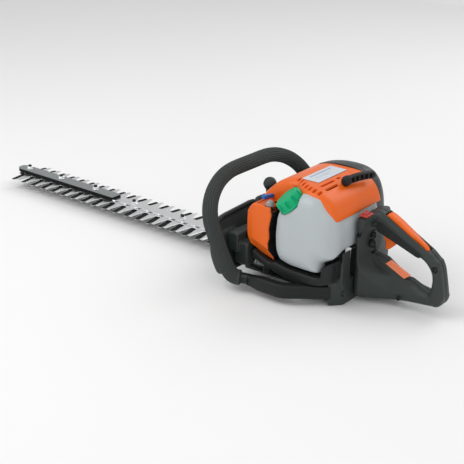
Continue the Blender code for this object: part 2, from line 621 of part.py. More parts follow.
def loop_path(count=7):
    """Foot, leg, shoulder, top bar, shoulder, leg, foot."""
    rise = LOOP_TOP - LOOP_FOOT_Z
    leg = rise * 0.52
    points = [(-LOOP_HALF + 6.0, 0.0), (-LOOP_HALF, leg * 0.5), (-LOOP_HALF, leg)]
    for i in range(1, count):
        t = radians(90.0 * i / count)
        points.append((-LOOP_HALF + (LOOP_HALF * 0.72) * (1 - cos(t)), leg + (rise - leg) * sin(t)))
    points.append((-LOOP_HALF * 0.28, rise))
    left = [loop_point(y, r) for y, r in points]
    return left + [(x, -y, z) for x, y, z in reversed(left)]


def build_frame():
    path = loop_path()
    inner = [(LOOP_FOOT_X + 26.0, -BAR_HALF_Y, LOOP_FOOT_Z),
             (LOOP_FOOT_X + 16.0, -BAR_HALF_Y, LOOP_FOOT_Z),
             (LOOP_FOOT_X + 4.0, -LOOP_HALF + 10.0, LOOP_FOOT_Z - 1.0)]
    whole = inner + path + [(x, -y, z) for x, y, z in reversed(inner)]
    tube("front_loop", whole, TUBE_R, "black", resolution=2)
    sleeve = tube("loop_grip", path[1:-1], SLEEVE_R, "rubber", resolution=3)
    cut(sleeve, tube("sleeve_bore", path, TUBE_R + 0.9, resolution=2))
    for side, name in ((-1, "side_bar_left"), (1, "side_bar_right")):
        z0, z1 = LOOP_FOOT_Z - 13.0, LOOP_FOOT_Z + 12.0
        y = side * BAR_HALF_Y
        w = side * 8.5
        end_y = side * 77.0
        start_x = LOOP_FOOT_X + 26.0 + GAP
        outline = [(start_x, y - w), (104.0, y - w), (BRACKET_X, end_y - w), (BRACKET_X, end_y + w),
                   (108.0, y + w), (start_x, y + w)]
        if side > 0:
            outline.reverse()
        prism(name, [outline], "z", z0, z1, "charcoal", edge=4.0)
    bracket = prism("rear_bracket", [[(BRACKET_X + GAP, -88.0), (HANDLE_X - GAP, -66.0),
                                      (HANDLE_X - GAP, 66.0), (BRACKET_X + GAP, 88.0)]], "z", 0.0, 44.0,
                    "charcoal", edge=3.0)
    hub = bar("bracket_hub", (BRACKET_X + 1.0, 0, SWIVEL_Z), (HANDLE_X - GAP, 0, SWIVEL_Z), 21.0,
              steps=36)
    join(bracket, hub)
    rise = HANDLE_X - GAP
    arm = [(BRACKET_X + 1.0, 36.0), (rise - 0.6, 36.0), (rise - 0.6, 96.0), (TANK_REAR + 1.2, 96.0),
           (TANK_REAR + 1.2, 82.0), (TANK_REAR - 8.0, 67.0), (BRACKET_X + 1.0, 59.0)]
    for side in (-1, 1):
        y0, y1 = sorted((side * 48.0, side * 74.0))
        join(bracket, prism(f"bracket_arm_{side}", [arm], "y", y0, y1))
    cut(bracket, bar("hub_bore", (150.0, 0, SWIVEL_Z), (HANDLE_X + 5.0, 0, SWIVEL_Z), SPINDLE_R + GAP,
                     steps=28))
    lock_z = SWIVEL_Z + 21.0
    box("swivel_lock", (BRACKET_X + 4.0, -7.0, lock_z + GAP), (HANDLE_X - 3.0, 7.0, lock_z + 8.0),
        "orange", origin=(BRACKET_X + 8.0, 0.0, lock_z), edge=1.5)
    for side, name in ((-1, "rear_buffer_left"), (1, "rear_buffer_right")):
        bar(name, (CASE_REAR + GAP, side * 30.0, 22.0), (BRACKET_X, side * 30.0, 22.0), 10.0, 10.0,
            "rubber", 20)

    beam = box("front_bracket", (LOOP_FOOT_X - 30.0, 28.0 - LOOP_HALF, CASE_TOP + 4.0),
               (LOOP_FOOT_X - 6.0, LOOP_HALF - 28.0, BEAM_TOP), "charcoal", edge=4.0)
    for side in (-1, 1):
        y0, y1 = sorted((side * 62.0, side * (LOOP_HALF - 34.0)))
        join(beam, box(f"bracket_end_{side}", (LOOP_FOOT_X - 19.0, y0, 38.0),
                       (18.0, y1, BEAM_TOP - 16.0)))
        y0, y1 = sorted((side * (CASE_HALF - 3.0), side * (SPRING_Y + 16.0)))
        join(bpy.data.objects["gear_housing"], box(f"mount_ear_{side}", (44.0, y0, 28.0),
                                                   (58.0, y1, 50.0)))
        turns, wire, radius = 3.5, 1.7, 8.0
        start, end = 18.0 + GAP + wire, 44.0 - GAP - wire
        coil = []
        for i in range(int(turns * 10) + 1):
            t = i / (turns * 10)
            angle = tau * turns * t
            coil.append((start + (end - start) * t, side * SPRING_Y + radius * cos(angle),
                         44.0 + radius * sin(angle)))
        tube("av_spring_left" if side < 0 else "av_spring_right", coil, wire, "black", resolution=1)

    lean = Matrix.Rotation(-radians(24.7), 4, "Y")
    guard = prism("hand_guard", [guard_outline()], "x", -1.6, 1.6)
    mesh = guard.data
    bpy.data.objects.remove(guard, do_unlink=True)
    mesh.transform(Matrix.Scale(1.0 / MM, 4))
    mesh.transform(Matrix.Translation((LOOP_FOOT_X - 19.5, 0.0, LOOP_FOOT_Z)) @ lean)
    add("hand_guard", mesh, "charcoal")


def guard_outline():
    """Across and up the leaning plane in front of the loop, with a window for the blade and its case."""
    wide = LOOP_HALF + 4.0
    window = CASE_HALF + 4.0
    sill = (CASE_TOP + 8.0 - LOOP_FOOT_Z) / cos(radians(24.7))
    top = 100.0
    half = [(window, sill), (window, -6.0), (wide - 12.0, -6.0), (wide, 12.0), (wide, top - 22.0),
            (wide - 14.0, top - 6.0), (wide - 34.0, top)]
    return half + [(-y, z) for y, z in reversed(half)]


def along(s, d):
    """A point on the rear handle: s along its grip from the front, d out from the grip's top line."""
    a, b = Vector(GRIP_START), Vector(GRIP_END)
    run = (b - a).normalized()
    return tuple(a + run * s + Vector((-run.y, run.x)) * d)


def build_handle():
    end = HANDLE_END
    outer = [(HANDLE_X + 2.0, 14.0), (196.0, 9.5), (222.0, 9.0), (268.0, 14.0), (end - 12.0, 22.0),
             (end - 2.0, 29.0), (end + 1.0, 38.0), (end, 50.0), (end - 8.0, 84.0), (end - 16.0, 98.0),
             GRIP_END, along(20.0, 0.0), GRIP_START, (212.0, 160.0), (200.0, 156.0),
             (HANDLE_X + 2.0, 147.0)]
    opening = [(207.0, 122.0), (211.0, 100.0), (215.0, 84.0), (236.0, 75.0), (268.0, 52.0),
               (end - 36.0, 41.0), (end - 22.0, 41.0), (end - 20.0, 62.0), (end - 22.0, 78.0),
               (end - 30.0, 89.0), (end - 40.0, 95.0), (250.0, 112.0), (226.0, 125.0), (213.0, 130.0)]
    lock_room = [along(2.0, 3.0), along(2.0, -13.0), along(94.0, -7.0), along(94.0, 3.0)]
    trigger_room = [along(2.0, -16.0), along(48.0, -16.0), along(48.0, -44.0), along(2.0, -44.0)]
    axis = pivot("swivel_axis", (HANDLE_X, 0.0, SWIVEL_Z))
    for side, name in ((-1, "handle_left"), (1, "handle_right")):
        y0, y1 = sorted((side * GAP / 2.0, side * GRIP_HALF))
        half = prism(name, [outer, opening], "y", y0, y1, "charcoal")
        y0, y1 = sorted((side * (GAP / 2.0 + 0.4), side * FLARE_HALF))
        flare = prism(name + "_flare", [[(HANDLE_X, 16.0), (196.0, 8.5), (214.0, 10.0), (210.0, 60.0),
                                         (206.0, 100.0), (203.0, 130.0), (210.0, 148.0), (206.0, 151.0),
                                         (HANDLE_X, 148.5)]], "y", y0, y1)
        join(half, flare)
        y0, y1 = sorted((side * -1.0, side * 8.8))
        cut(half, prism(name + "_lock_room", [lock_room], "y", y0, y1))
        y0, y1 = sorted((side * -1.0, side * 5.6))
        cut(half, prism(name + "_trigger_room", [trigger_room], "y", y0, y1))
        cut(half, bar(name + "_spindle_bore", (HANDLE_X - 5.0, 0, SWIVEL_Z), (206.0, 0, SWIVEL_Z),
                      SPINDLE_R + GAP, steps=24))
        y0, y1 = sorted((side * (GRIP_HALF + GAP), side * (GRIP_HALF + 1.9)))
        inlay = [along(s, d) for s, d in ((-3, -17), (2, -13), (90, -8), (94, -12), (91, -17), (8, -31),
                                          (-2, -27))]
        pad = prism("grip_inlay_left" if side < 0 else "grip_inlay_right", [inlay], "y", y0, y1, "black")
        hang(half, axis)
        hang(pad, axis)
    hang(bar("swivel_spindle", (BRACKET_X + 2.0, 0, SWIVEL_Z), (205.6, 0, SWIVEL_Z), SPINDLE_R, SPINDLE_R,
             "steel", 24), axis)
    hinge = along(8.0, -22.0)
    trigger = [along(s, d) for s, d in ((5, -19.5), (30, -27), (42, -34), (41, -40), (36, -55), (31, -54),
                                        (26, -44), (14, -38), (5, -31))]
    hang(prism("trigger", [trigger], "y", -5.0, 5.0, "orange", (hinge[0], 0.0, hinge[1]), edge=1.2), axis)
    rest = along(88.0, -3.0)
    lever = [along(s, d) for s, d in ((4, -5), (92, -5), (92, 0), (84, 2.5), (40, 4), (26, 6), (8, 3.5))]
    hang(prism("throttle_lock", [lever], "y", -8.0, 8.0, "orange", (rest[0], 0.0, rest[1]), edge=1.0),
         axis)
    hang(box("stop_switch", (193.0, -32.0, 151.0 + GAP), (206.0, -19.0, 157.0), "red",
             (199.5, -25.5, 151.0), edge=1.2), axis)


def build_starter_grip():
    middle = Vector((164.0, 6.0, BODY_TOP - 3.4 + GAP))
    run = Vector((0.26, 0.966, 0.0))
    cross = Vector((-run.y, run.x, 0.0))

    def place(s, w):
        p = middle + run * s + cross * w
        return (p.x, p.y)
    body = [place(33 * cos(a), 6.5 * sin(a)) for a in (radians(t) for t in (0, 30, 150, 180, 210, 330))]
    grip = prism("starter_grip", [body], "z", middle.z, middle.z + 13.0, "black", tuple(middle), edge=1.2)
    join(grip, bar("grip_boss", middle - run * 27.0, middle - run * 27.0 + Vector((0, 0, 14)), 8.5,
                   steps=18))
    for k in range(4):
        s = -12.0 + 10.0 * k
        hole = [place(s - 3.0, -3.0), place(s + 3.0, -3.0), place(s + 3.0, 3.0), place(s - 3.0, 3.0)]
        cut(grip, prism(f"grip_hole_{k}", [hole], "z", 190.0, 220.0))


def centre():
    """Move the machine so that the middle of its length is at X = 0."""
    shift = -(BLADE_FRONT + HANDLE_END + 1.0) / 2.0 * MM
    for obj in list(parts.objects) + list(cutters.objects):
        if obj.parent is None:
            obj.location.x += shift


def main():
    clear_scene()
    build_blades()
    build_gear_case()
    port_x, back_y = build_engine()
    notch = build_intake(port_x, back_y)
    build_body(notch)
    build_cap()
    build_frame()
    build_handle()
    build_starter_grip()
    centre()


main()
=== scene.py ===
"""Petrol hedge trimmer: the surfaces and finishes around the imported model.

Shapes are worked out in millimetres on the machine's own datum: X from the foot of the front loop,
Y from the middle and Z from the floor. The blade points to -X and the operator's left is -Y.
"""
import json
from itertools import product
from math import cos, pi, radians, sin, tau

import bpy
import numpy as np
from bpy.props import FloatProperty, FloatVectorProperty, IntProperty, PointerProperty
from mathutils import Matrix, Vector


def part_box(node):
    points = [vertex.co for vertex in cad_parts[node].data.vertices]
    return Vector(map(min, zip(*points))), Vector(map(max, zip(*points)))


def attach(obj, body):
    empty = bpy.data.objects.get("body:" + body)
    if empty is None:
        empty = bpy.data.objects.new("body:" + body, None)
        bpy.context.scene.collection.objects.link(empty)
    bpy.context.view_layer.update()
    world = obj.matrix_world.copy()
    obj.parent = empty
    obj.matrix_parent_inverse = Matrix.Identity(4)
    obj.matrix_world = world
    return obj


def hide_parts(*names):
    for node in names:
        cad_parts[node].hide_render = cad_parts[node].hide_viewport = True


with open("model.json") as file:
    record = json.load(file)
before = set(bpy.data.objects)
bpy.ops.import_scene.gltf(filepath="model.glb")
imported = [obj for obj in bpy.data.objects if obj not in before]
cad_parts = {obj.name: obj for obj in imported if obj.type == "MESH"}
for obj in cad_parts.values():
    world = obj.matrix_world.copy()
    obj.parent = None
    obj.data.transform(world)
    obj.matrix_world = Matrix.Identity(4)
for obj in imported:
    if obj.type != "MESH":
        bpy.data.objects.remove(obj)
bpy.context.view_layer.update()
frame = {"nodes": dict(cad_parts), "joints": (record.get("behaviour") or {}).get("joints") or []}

bl_info = {
    "name": "Hedge trimmer looks",
    "version": (1, 0, 0),
    "blender": (4, 5, 0),
    "location": "View3D > Sidebar > Trimmer",
    "description": "Builds the outer surfaces of a petrol hedge trimmer around its packed frame",
    "category": "Object",
}

MM = 0.001
CRANK_X = 95.0
JOINTS = {joint["name"]: joint for joint in frame["joints"]}
DATUM = JOINTS["crank_spin"]["pos_m"][0] - CRANK_X * MM


def edges(node):
    """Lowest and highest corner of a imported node, in millimetres on the machine's datum."""
    low, high = (np.array(corner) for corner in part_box(node))
    shift = np.array((DATUM, 0.0, 0.0))
    return (low - shift) / MM, (high - shift) / MM


def mm(name):
    """One of the length settings, in millimetres."""
    return getattr(bpy.context.scene.trimmer_sizes, name) / MM


# Surfaces -----------------------------------------------------------------------------------

def surface(name, points, faces, looks, body, slot, replaced=(), sharp=None):
    """A mesh from an array of points and lists of faces, riding on a body."""
    mesh = bpy.data.meshes.new(name)
    placed = np.asarray(points, float) * MM + np.array((DATUM, 0.0, 0.0))
    mesh.from_pydata(placed.tolist(), [], faces)
    mesh.validate()
    return settle(name, mesh, looks, body, replaced, sharp)


def settle(name, mesh, looks, body, replaced=(), sharp=None):
    """Links a mesh, gives it its finishes and shading, hangs it on its body and hides the nodes it
    replaces.
    """
    obj = bpy.data.objects.new(name, mesh)
    bpy.context.scene.collection.objects.link(obj)
    mesh.materials.clear()
    for look in looks if isinstance(looks, (list, tuple)) else [looks]:
        mesh.materials.append(look)
    mesh.shade_smooth()
    if sharp:
        mesh.set_sharp_from_angle(angle=radians(sharp))
    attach(obj, body)
    if replaced:
        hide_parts(*replaced)
    return obj


def grid_faces(rows, columns, across=True, along=False, start=0):
    """Quads between neighbouring rows, joined round each row, and last row to first, if asked."""
    r = np.arange(rows if along else rows - 1)[:, None]
    c = np.arange(columns if across else columns - 1)[None, :]
    r2, c2 = (r + 1) % rows, (c + 1) % columns
    corners = [r * columns + c, r * columns + c2, r2 * columns + c2, r2 * columns + c]
    return (np.stack([np.broadcast_to(k, (r.size, c.size)) for k in corners], -1)
            .reshape(-1, 4) + start).tolist()


def closed_grid(rows):
    """Points and faces of rings stacked into a tube, with a pole at each end."""
    count, around, _ = rows.shape
    poles = np.stack([rows[0].mean(0), rows[-1].mean(0)])
    points = np.concatenate([rows.reshape(-1, 3), poles])
    faces = grid_faces(count, around)
    here = np.arange(around)
    there = (here + 1) % around
    first, last = count * around, count * around + 1
    base = (count - 1) * around
    faces += np.stack([there, here, np.full(around, first)], -1).tolist()
    faces += np.stack([here + base, there + base, np.full(around, last)], -1).tolist()
    return points, faces


def carried(path, section, up):
    """A section carried along a path. Each ring is path + side * u + up' * v, where side is square to
    the path and to the up direction. Section gives (u, v) arrays for t from 0 to 1 and an angle."""
    path = np.asarray(path, float)
    run = np.gradient(path, axis=0)
    run /= np.linalg.norm(run, axis=1)[:, None]
    side = np.cross(run, np.asarray(up, float))
    side /= np.linalg.norm(side, axis=1)[:, None]
    top = np.cross(side, run)
    t = np.linspace(0.0, 1.0, len(path))[:, None]
    u, v = section(t)
    return path[:, None, :] + side[:, None, :] * u[..., None] + top[:, None, :] * v[..., None]


def eased(points, step=1.5, spread=10.0):
    """A path through straight runs with its corners eased: points every step, then a moving mean."""
    points = np.asarray(points, float)
    lengths = np.r_[0.0, np.cumsum(np.linalg.norm(np.diff(points, axis=0), axis=1))]
    s = np.linspace(0.0, lengths[-1], int(lengths[-1] / step) + 1)
    path = np.stack([np.interp(s, lengths, points[:, k]) for k in range(3)], -1)
    width = max(int(spread / step) | 1, 3)
    half = width // 2
    for _ in range(2):
        head = path[0] - (path[1] - path[0]) * np.arange(half, 0, -1)[:, None]
        tail = path[-1] + (path[-1] - path[-2]) * np.arange(1, half + 1)[:, None]
        long_path = np.concatenate([head, path, tail])
        path = np.stack([np.convolve(long_path[:, k], np.ones(width) / width, "valid")
                         for k in range(3)], -1)
    return path


def lathe(profile, centre, axis=(0.0, 0.0, 1.0), around=48, shape=None):
    """A profile of (radius, height) rows turned about an axis. Shape scales the radius by angle and
    height, for ribs, notches and hexagons."""
    profile = np.asarray(profile, float)
    axis = np.asarray(axis, float) / np.linalg.norm(axis)
    other = np.cross(axis, (1.0, 0.0, 0.0) if abs(axis[0]) < 0.8 else (0.0, 1.0, 0.0))
    other /= np.linalg.norm(other)
    third = np.cross(axis, other)
    angle = np.linspace(0.0, tau, around, endpoint=False)[None, :]
    radius = profile[:, :1] * (1.0 if shape is None else shape(angle, profile[:, 1:]))
    radius = np.broadcast_to(radius, (len(profile), around))
    rows = (np.asarray(centre, float) + axis * profile[:, 1:, None]
            + other * (radius * np.cos(angle))[..., None]
            + third * (radius * np.sin(angle))[..., None])
    return closed_grid(rows)


def hexagon(angle, _height):
    """The radius of a hexagon whose flats are at radius 1."""
    return 1.0 / np.cos((angle % (tau / 6.0)) - tau / 12.0)


def gather(shapes):
    """Several sets of points and faces as one."""
    points, faces, start = [], [], 0
    for some_points, some_faces in shapes:
        points.append(some_points)
        faces += [[index + start for index in face] for face in some_faces]
        start += len(some_points)
    return np.concatenate(points), faces


# Fields: a moulded shape is where a function of place is zero, negative inside ----------------

def smooth_max(a, b, r):
    """The larger of two fields, with the crease where they meet rounded over about r."""
    return np.maximum(a, b) + np.maximum(r - np.abs(a - b), 0.0) ** 2 / (4.0 * r)


def smooth_min(a, b, r):
    """The smaller of two fields, with the corner where they meet filled to about r."""
    return -smooth_max(-a, -b, r)


def ramp(value, low, high):
    """0 below low, 1 above high and a smooth S between."""
    t = np.clip((value - low) / (high - low), 0.0, 1.0)
    return t * t * (3.0 - 2.0 * t)


def slab(value, low, high):
    """Distance outside the range from low to high, negative inside it."""
    return np.abs(value - (low + high) / 2.0) - abs(high - low) / 2.0


def block(x, y, z, low, high, r):
    """A box with rounded edges."""
    d = [slab(value, a, b) + r for value, a, b in zip((x, y, z), low, high)]
    outside = np.sqrt(sum(np.maximum(side, 0.0) ** 2 for side in d))
    return outside + np.minimum(np.maximum(np.maximum(d[0], d[1]), d[2]), 0.0) - r


def rod(x, y, z, start, end, radius, r=1.0):
    """A cylinder with flat ends between two points."""
    start, end = np.asarray(start, float), np.asarray(end, float)
    length = np.linalg.norm(end - start)
    axis = (end - start) / length
    dx, dy, dz = x - start[0], y - start[1], z - start[2]
    t = dx * axis[0] + dy * axis[1] + dz * axis[2]
    off = np.sqrt(np.maximum(dx * dx + dy * dy + dz * dz - t * t, 0.0)) - radius
    return smooth_max(off, slab(t, 0.0, length), r)


def polygon(u, v, points):
    """Distance to a closed outline, negative inside, where a ray crosses it an odd number of times."""
    nearest, inside = np.inf, False
    for k, (ax, ay) in enumerate(points):
        bx, by = points[(k + 1) % len(points)]
        ex, ey = bx - ax, by - ay
        wx, wy = u - ax, v - ay
        t = np.clip((wx * ex + wy * ey) / (ex * ex + ey * ey), 0.0, 1.0)
        nearest = np.minimum(nearest, (wx - t * ex) ** 2 + (wy - t * ey) ** 2)
        if ey:
            inside = inside ^ (((ay > v) != (by > v)) & (u < ex * (v - ay) / ey + ax))
    return np.where(inside, -1.0, 1.0) * np.sqrt(nearest)


def rounded(points, radius, steps=4):
    """An outline with each corner replaced by a curve that starts radius before it."""
    made = []
    points = [np.asarray(p, float) for p in points]
    for k, corner in enumerate(points):
        before, after = points[k - 1] - corner, points[(k + 1) % len(points)] - corner
        a = corner + before * min(radius / np.linalg.norm(before), 0.48)
        b = corner + after * min(radius / np.linalg.norm(after), 0.48)
        for t in np.linspace(0.0, 1.0, steps + 1):
            made.append(tuple((1 - t) ** 2 * a + 2 * t * (1 - t) * corner + t * t * b))
    return made


def moulded(field, low, high, cell):
    """The closed surface where field(x, y, z) is zero: each cell of a regular grid that the surface
    passes through gets one point, the mean of the crossings on its edges, moved once down the
    gradient, and each grid edge that it crosses gets a quad between the four cells around it."""
    cell = cell * 1.0
    axes = [np.arange(low[k] - 2.5 * cell, high[k] + 2.5 * cell, cell) for k in range(3)]
    x, y, z = np.meshgrid(*axes, indexing="ij", sparse=True)
    shape = tuple(len(axis) for axis in axes)
    value = np.ascontiguousarray(np.broadcast_to(field(x, y, z), shape), float)
    inside = value < 0.0
    count = sum(inside[i:shape[0] - 1 + i, j:shape[1] - 1 + j, k:shape[2] - 1 + k].astype(np.int8)
                for i, j, k in product((0, 1), repeat=3))
    crossed = (count > 0) & (count < 8)
    place = np.argwhere(crossed)
    number = np.full(crossed.shape, -1)
    number[crossed] = np.arange(len(place))
    corner = {c: value[place[:, 0] + c[0], place[:, 1] + c[1], place[:, 2] + c[2]]
              for c in product((0, 1), repeat=3)}
    total, hits = np.zeros((len(place), 3)), np.zeros(len(place))
    for a in product((0, 1), repeat=3):
        for axis in range(3):
            if a[axis]:
                continue
            b = tuple(1 if k == axis else a[k] for k in range(3))
            crossing = (corner[a] < 0.0) != (corner[b] < 0.0)
            gap = np.where(crossing, corner[a] - corner[b], 1.0)
            share = np.where(crossing, corner[a] / gap, 0.0)
            point = np.tile(np.array(a, float), (len(place), 1))
            point[:, axis] = share
            total += point * crossing[:, None]
            hits += crossing
    spot = total / hits[:, None]
    weight = {c: np.prod([spot[:, k] if c[k] else 1.0 - spot[:, k] for k in range(3)], axis=0)
              for c in corner}
    here = sum(weight[c] * corner[c] for c in corner)
    slope = np.stack([sum((1.0 if c[k] else -1.0) * corner[c]
                          * np.prod([spot[:, m] if c[m] else 1.0 - spot[:, m]
                                     for m in range(3) if m != k], axis=0) for c in corner)
                      for k in range(3)], -1)
    spot -= slope * (here / np.maximum((slope ** 2).sum(1), 1e-6))[:, None]
    points = np.array([axis[0] for axis in axes]) + (place + np.clip(spot, 0.0, 1.0)) * cell
    quads = []
    for axis in range(3):
        b, c = (axis + 1) % 3, (axis + 2) % 3
        near = np.take(inside, np.arange(shape[axis] - 1), axis)
        far = np.take(inside, np.arange(1, shape[axis]), axis)
        spots = np.argwhere(near != far)
        leaving = near[tuple(spots.T)]
        ring = []
        for db, dc in ((-1, -1), (0, -1), (0, 0), (-1, 0)):
            cell_place = spots.copy()
            cell_place[:, b] += db
            cell_place[:, c] += dc
            ring.append(number[tuple(cell_place.T)])
        ring = np.stack(ring, -1)
        ring[~leaving] = ring[~leaving][:, ::-1]
        quads.append(ring)
    return points, np.concatenate(quads).tolist()


# Finishes -----------------------------------------------------------------------------------

def wire(tree, source, output, target, socket):
    """Joins an output of one shader node to an input of another."""
    tree.links.new(source.outputs[output], target.inputs[socket])


def finish(name, colour, rough, metal=0.0, grain=1.4, height=0.05, tone=0.16, patch=30.0, edge_wear_and_highlight=0.0,
           coat=0.0, stretch=(1.0, 1.0, 1.0), soft=0.0, shine=0.5):
    """Patches of noise vary the colour and the roughness, a finer noise raises the moulded or ground
    grain, and convex edges are lighter, partly wear and partly a painted highlight. Grain, patch and height
    are in millimetres."""
    mat = bpy.data.materials.new(name)
    mat.use_nodes = True
    tree = mat.node_tree
    nodes = tree.nodes
    shader = nodes["Principled BSDF"]
    coords = nodes.new("ShaderNodeTexCoord")
    spread = nodes.new("ShaderNodeMapping")
    spread.inputs["Scale"].default_value = stretch
    wire(tree, coords, "Object", spread, "Vector")
    cloud = nodes.new("ShaderNodeTexNoise")
    cloud.inputs["Scale"].default_value = 1.0 / (patch * MM)
    cloud.inputs["Detail"].default_value = 5.0
    fine = nodes.new("ShaderNodeTexNoise")
    fine.inputs["Scale"].default_value = 1.0 / (grain * MM)
    fine.inputs["Detail"].default_value = 3.0
    wire(tree, spread, "Vector", cloud, "Vector")
    wire(tree, spread, "Vector", fine, "Vector")
    shades = nodes.new("ShaderNodeMix")
    shades.data_type = "RGBA"
    colour = np.array(colour[:3], float)
    shades.inputs["A"].default_value = (*np.clip(colour * (1.0 - tone), 0.0, 1.0), 1.0)
    shades.inputs["B"].default_value = (*np.clip(colour * (1.0 + tone), 0.0, 1.0), 1.0)
    wire(tree, cloud, "Fac", shades, "Factor")
    last = shades
    # Convex edges are lightened here: partly worn plastic, partly a painted highlight where light catches
    # them.
    if edge_wear_and_highlight:
        form = nodes.new("ShaderNodeNewGeometry")
        worn_and_lit_edge = nodes.new("ShaderNodeMapRange")
        worn_and_lit_edge.inputs["From Min"].default_value = 0.52
        worn_and_lit_edge.inputs["From Max"].default_value = 0.62
        worn_and_lit_edge.inputs["To Max"].default_value = edge_wear_and_highlight
        wire(tree, form, "Pointiness", worn_and_lit_edge, "Value")
        light = nodes.new("ShaderNodeMix")
        light.data_type = "RGBA"
        light.inputs["B"].default_value = (*np.clip(colour * 1.8 + 0.03, 0.0, 1.0), 1.0)
        tree.links.new(shades.outputs["Result"], light.inputs["A"])
        wire(tree, worn_and_lit_edge, "Result", light, "Factor")
        last = light
    wire(tree, last, "Result", shader, "Base Color")
    dull = nodes.new("ShaderNodeMapRange")
    dull.inputs["From Min"].default_value = 0.3
    dull.inputs["From Max"].default_value = 0.7
    dull.inputs["To Min"].default_value = max(rough - 0.07, 0.02)
    dull.inputs["To Max"].default_value = min(rough + 0.09, 1.0)
    wire(tree, cloud, "Fac", dull, "Value")
    wire(tree, dull, "Result", shader, "Roughness")
    bump = nodes.new("ShaderNodeBump")
    bump.inputs["Strength"].default_value = 0.5
    bump.inputs["Distance"].default_value = height * MM
    wire(tree, fine, "Fac", bump, "Height")
    wire(tree, bump, "Normal", shader, "Normal")
    shader.inputs["Metallic"].default_value = metal
    shader.inputs["Coat Weight"].default_value = coat
    shader.inputs["Specular IOR Level"].default_value = shine
    shader.inputs["Subsurface Weight"].default_value = soft
    if soft:
        shader.inputs["Subsurface Radius"].default_value = (0.004, 0.005, 0.006)
        shader.inputs["Subsurface Scale"].default_value = 1.0
    return mat


LOOKS = {}


def mix_finishes(colours):
    """All the finishes of the machine."""
    c = colours
    make = {
        # The edge setting in these finishes lightens convex edges: partly wear, partly a painted highlight.
        "charcoal": dict(colour=c.charcoal, rough=0.48, grain=0.9, height=0.06, edge_wear_and_highlight=0.5, shine=0.35),
        "charcoal_smooth": dict(colour=c.charcoal, rough=0.33, grain=1.2, height=0.02, edge_wear_and_highlight=0.3),
        "soft_rubber": dict(colour=c.rubber, rough=0.62, grain=0.6, height=0.05, tone=0.22, edge_wear_and_highlight=0.35),
        "black": dict(colour=c.black, rough=0.46, grain=0.8, height=0.05, edge_wear_and_highlight=0.25, shine=0.3),
        "orange": dict(colour=c.orange, rough=0.34, grain=1.6, height=0.02, tone=0.05, shine=0.35),
        "lever_orange": dict(colour=c.orange, rough=0.38, grain=1.0, height=0.02, tone=0.08, shine=0.3),
        "tank": dict(colour=c.tank, rough=0.38, grain=2.2, height=0.04, tone=0.03, patch=70.0, soft=0.25),
        "green": dict(colour=c.cap, rough=0.42, grain=0.9, height=0.04, tone=0.12, edge_wear_and_highlight=0.15, shine=0.25),
        "blue": dict(colour=c.choke, rough=0.38, grain=0.9, height=0.03, tone=0.12),
        "red": dict(colour=c.switch, rough=0.38, grain=0.9, height=0.03, tone=0.12),
        "bulb": dict(colour=(0.30, 0.27, 0.25), rough=0.18, grain=2.0, height=0.02, soft=0.3, coat=0.4),
        "steel": dict(colour=(0.86, 0.87, 0.88), rough=0.26, metal=1.0, grain=0.5, height=0.012,
                      tone=0.08, stretch=(0.06, 1.0, 1.0)),
        # Near-black: painted shade and dark reflection on the lower blade's steel flats, and painted shade
        # on the guide bar's walls.
        "painted_shade_dark": dict(colour=(0.006, 0.0065, 0.0065), rough=0.62, grain=0.6, height=0.02, tone=0.3,
                            shine=0.15),
        "edge_steel": dict(colour=(0.88, 0.89, 0.90), rough=0.20, metal=1.0, grain=0.35, height=0.012,
                           tone=0.05, stretch=(1.0, 0.08, 1.0)),
        "grey_coat": dict(colour=c.bar, rough=0.40, metal=0.2, grain=0.8, height=0.03, tone=0.12),
        "cast": dict(colour=(0.36, 0.37, 0.38), rough=0.52, metal=0.85, grain=0.9, height=0.12, tone=0.2),
        "zinc": dict(colour=(0.46, 0.50, 0.49), rough=0.30, metal=1.0, grain=0.7, height=0.02, tone=0.2),
        "label": dict(colour=(0.60, 0.65, 0.70), rough=0.28, grain=1.5, height=0.01, tone=0.05, coat=0.3),
        "print": dict(colour=(0.24, 0.34, 0.50), rough=0.30, grain=1.5, height=0.01, tone=0.10),
        "notice": dict(colour=(0.85, 0.22, 0.10), rough=0.42, grain=1.2, height=0.01, tone=0.08),
        "paper": dict(colour=(0.70, 0.66, 0.56), rough=0.80, grain=0.7, height=0.2, tone=0.2),
        "ceramic": dict(colour=(0.80, 0.79, 0.76), rough=0.25, grain=1.5, height=0.01, tone=0.05),
    }
    for name, values in make.items():
        LOOKS[name] = finish(name, **values)


# Rear handle --------------------------------------------------------------------------------

GRIP_START = np.array((223.0, 157.0))
GRIP_END = np.array((318.0, 104.0))
GRIP_RUN = (GRIP_END - GRIP_START) / np.linalg.norm(GRIP_END - GRIP_START)
GRIP_HALF, WEB_HALF = 17.5, 10.5


def along(s, d):
    """A point s along the grip's top line and d out from it."""
    return tuple(GRIP_START + GRIP_RUN * s + np.array((-GRIP_RUN[1], GRIP_RUN[0])) * d)


def grip_frame(x, z):
    """Distance along the grip's top line and out from it."""
    dx, dz = x - GRIP_START[0], z - GRIP_START[1]
    return dx * GRIP_RUN[0] + dz * GRIP_RUN[1], dz * GRIP_RUN[0] - dx * GRIP_RUN[1]


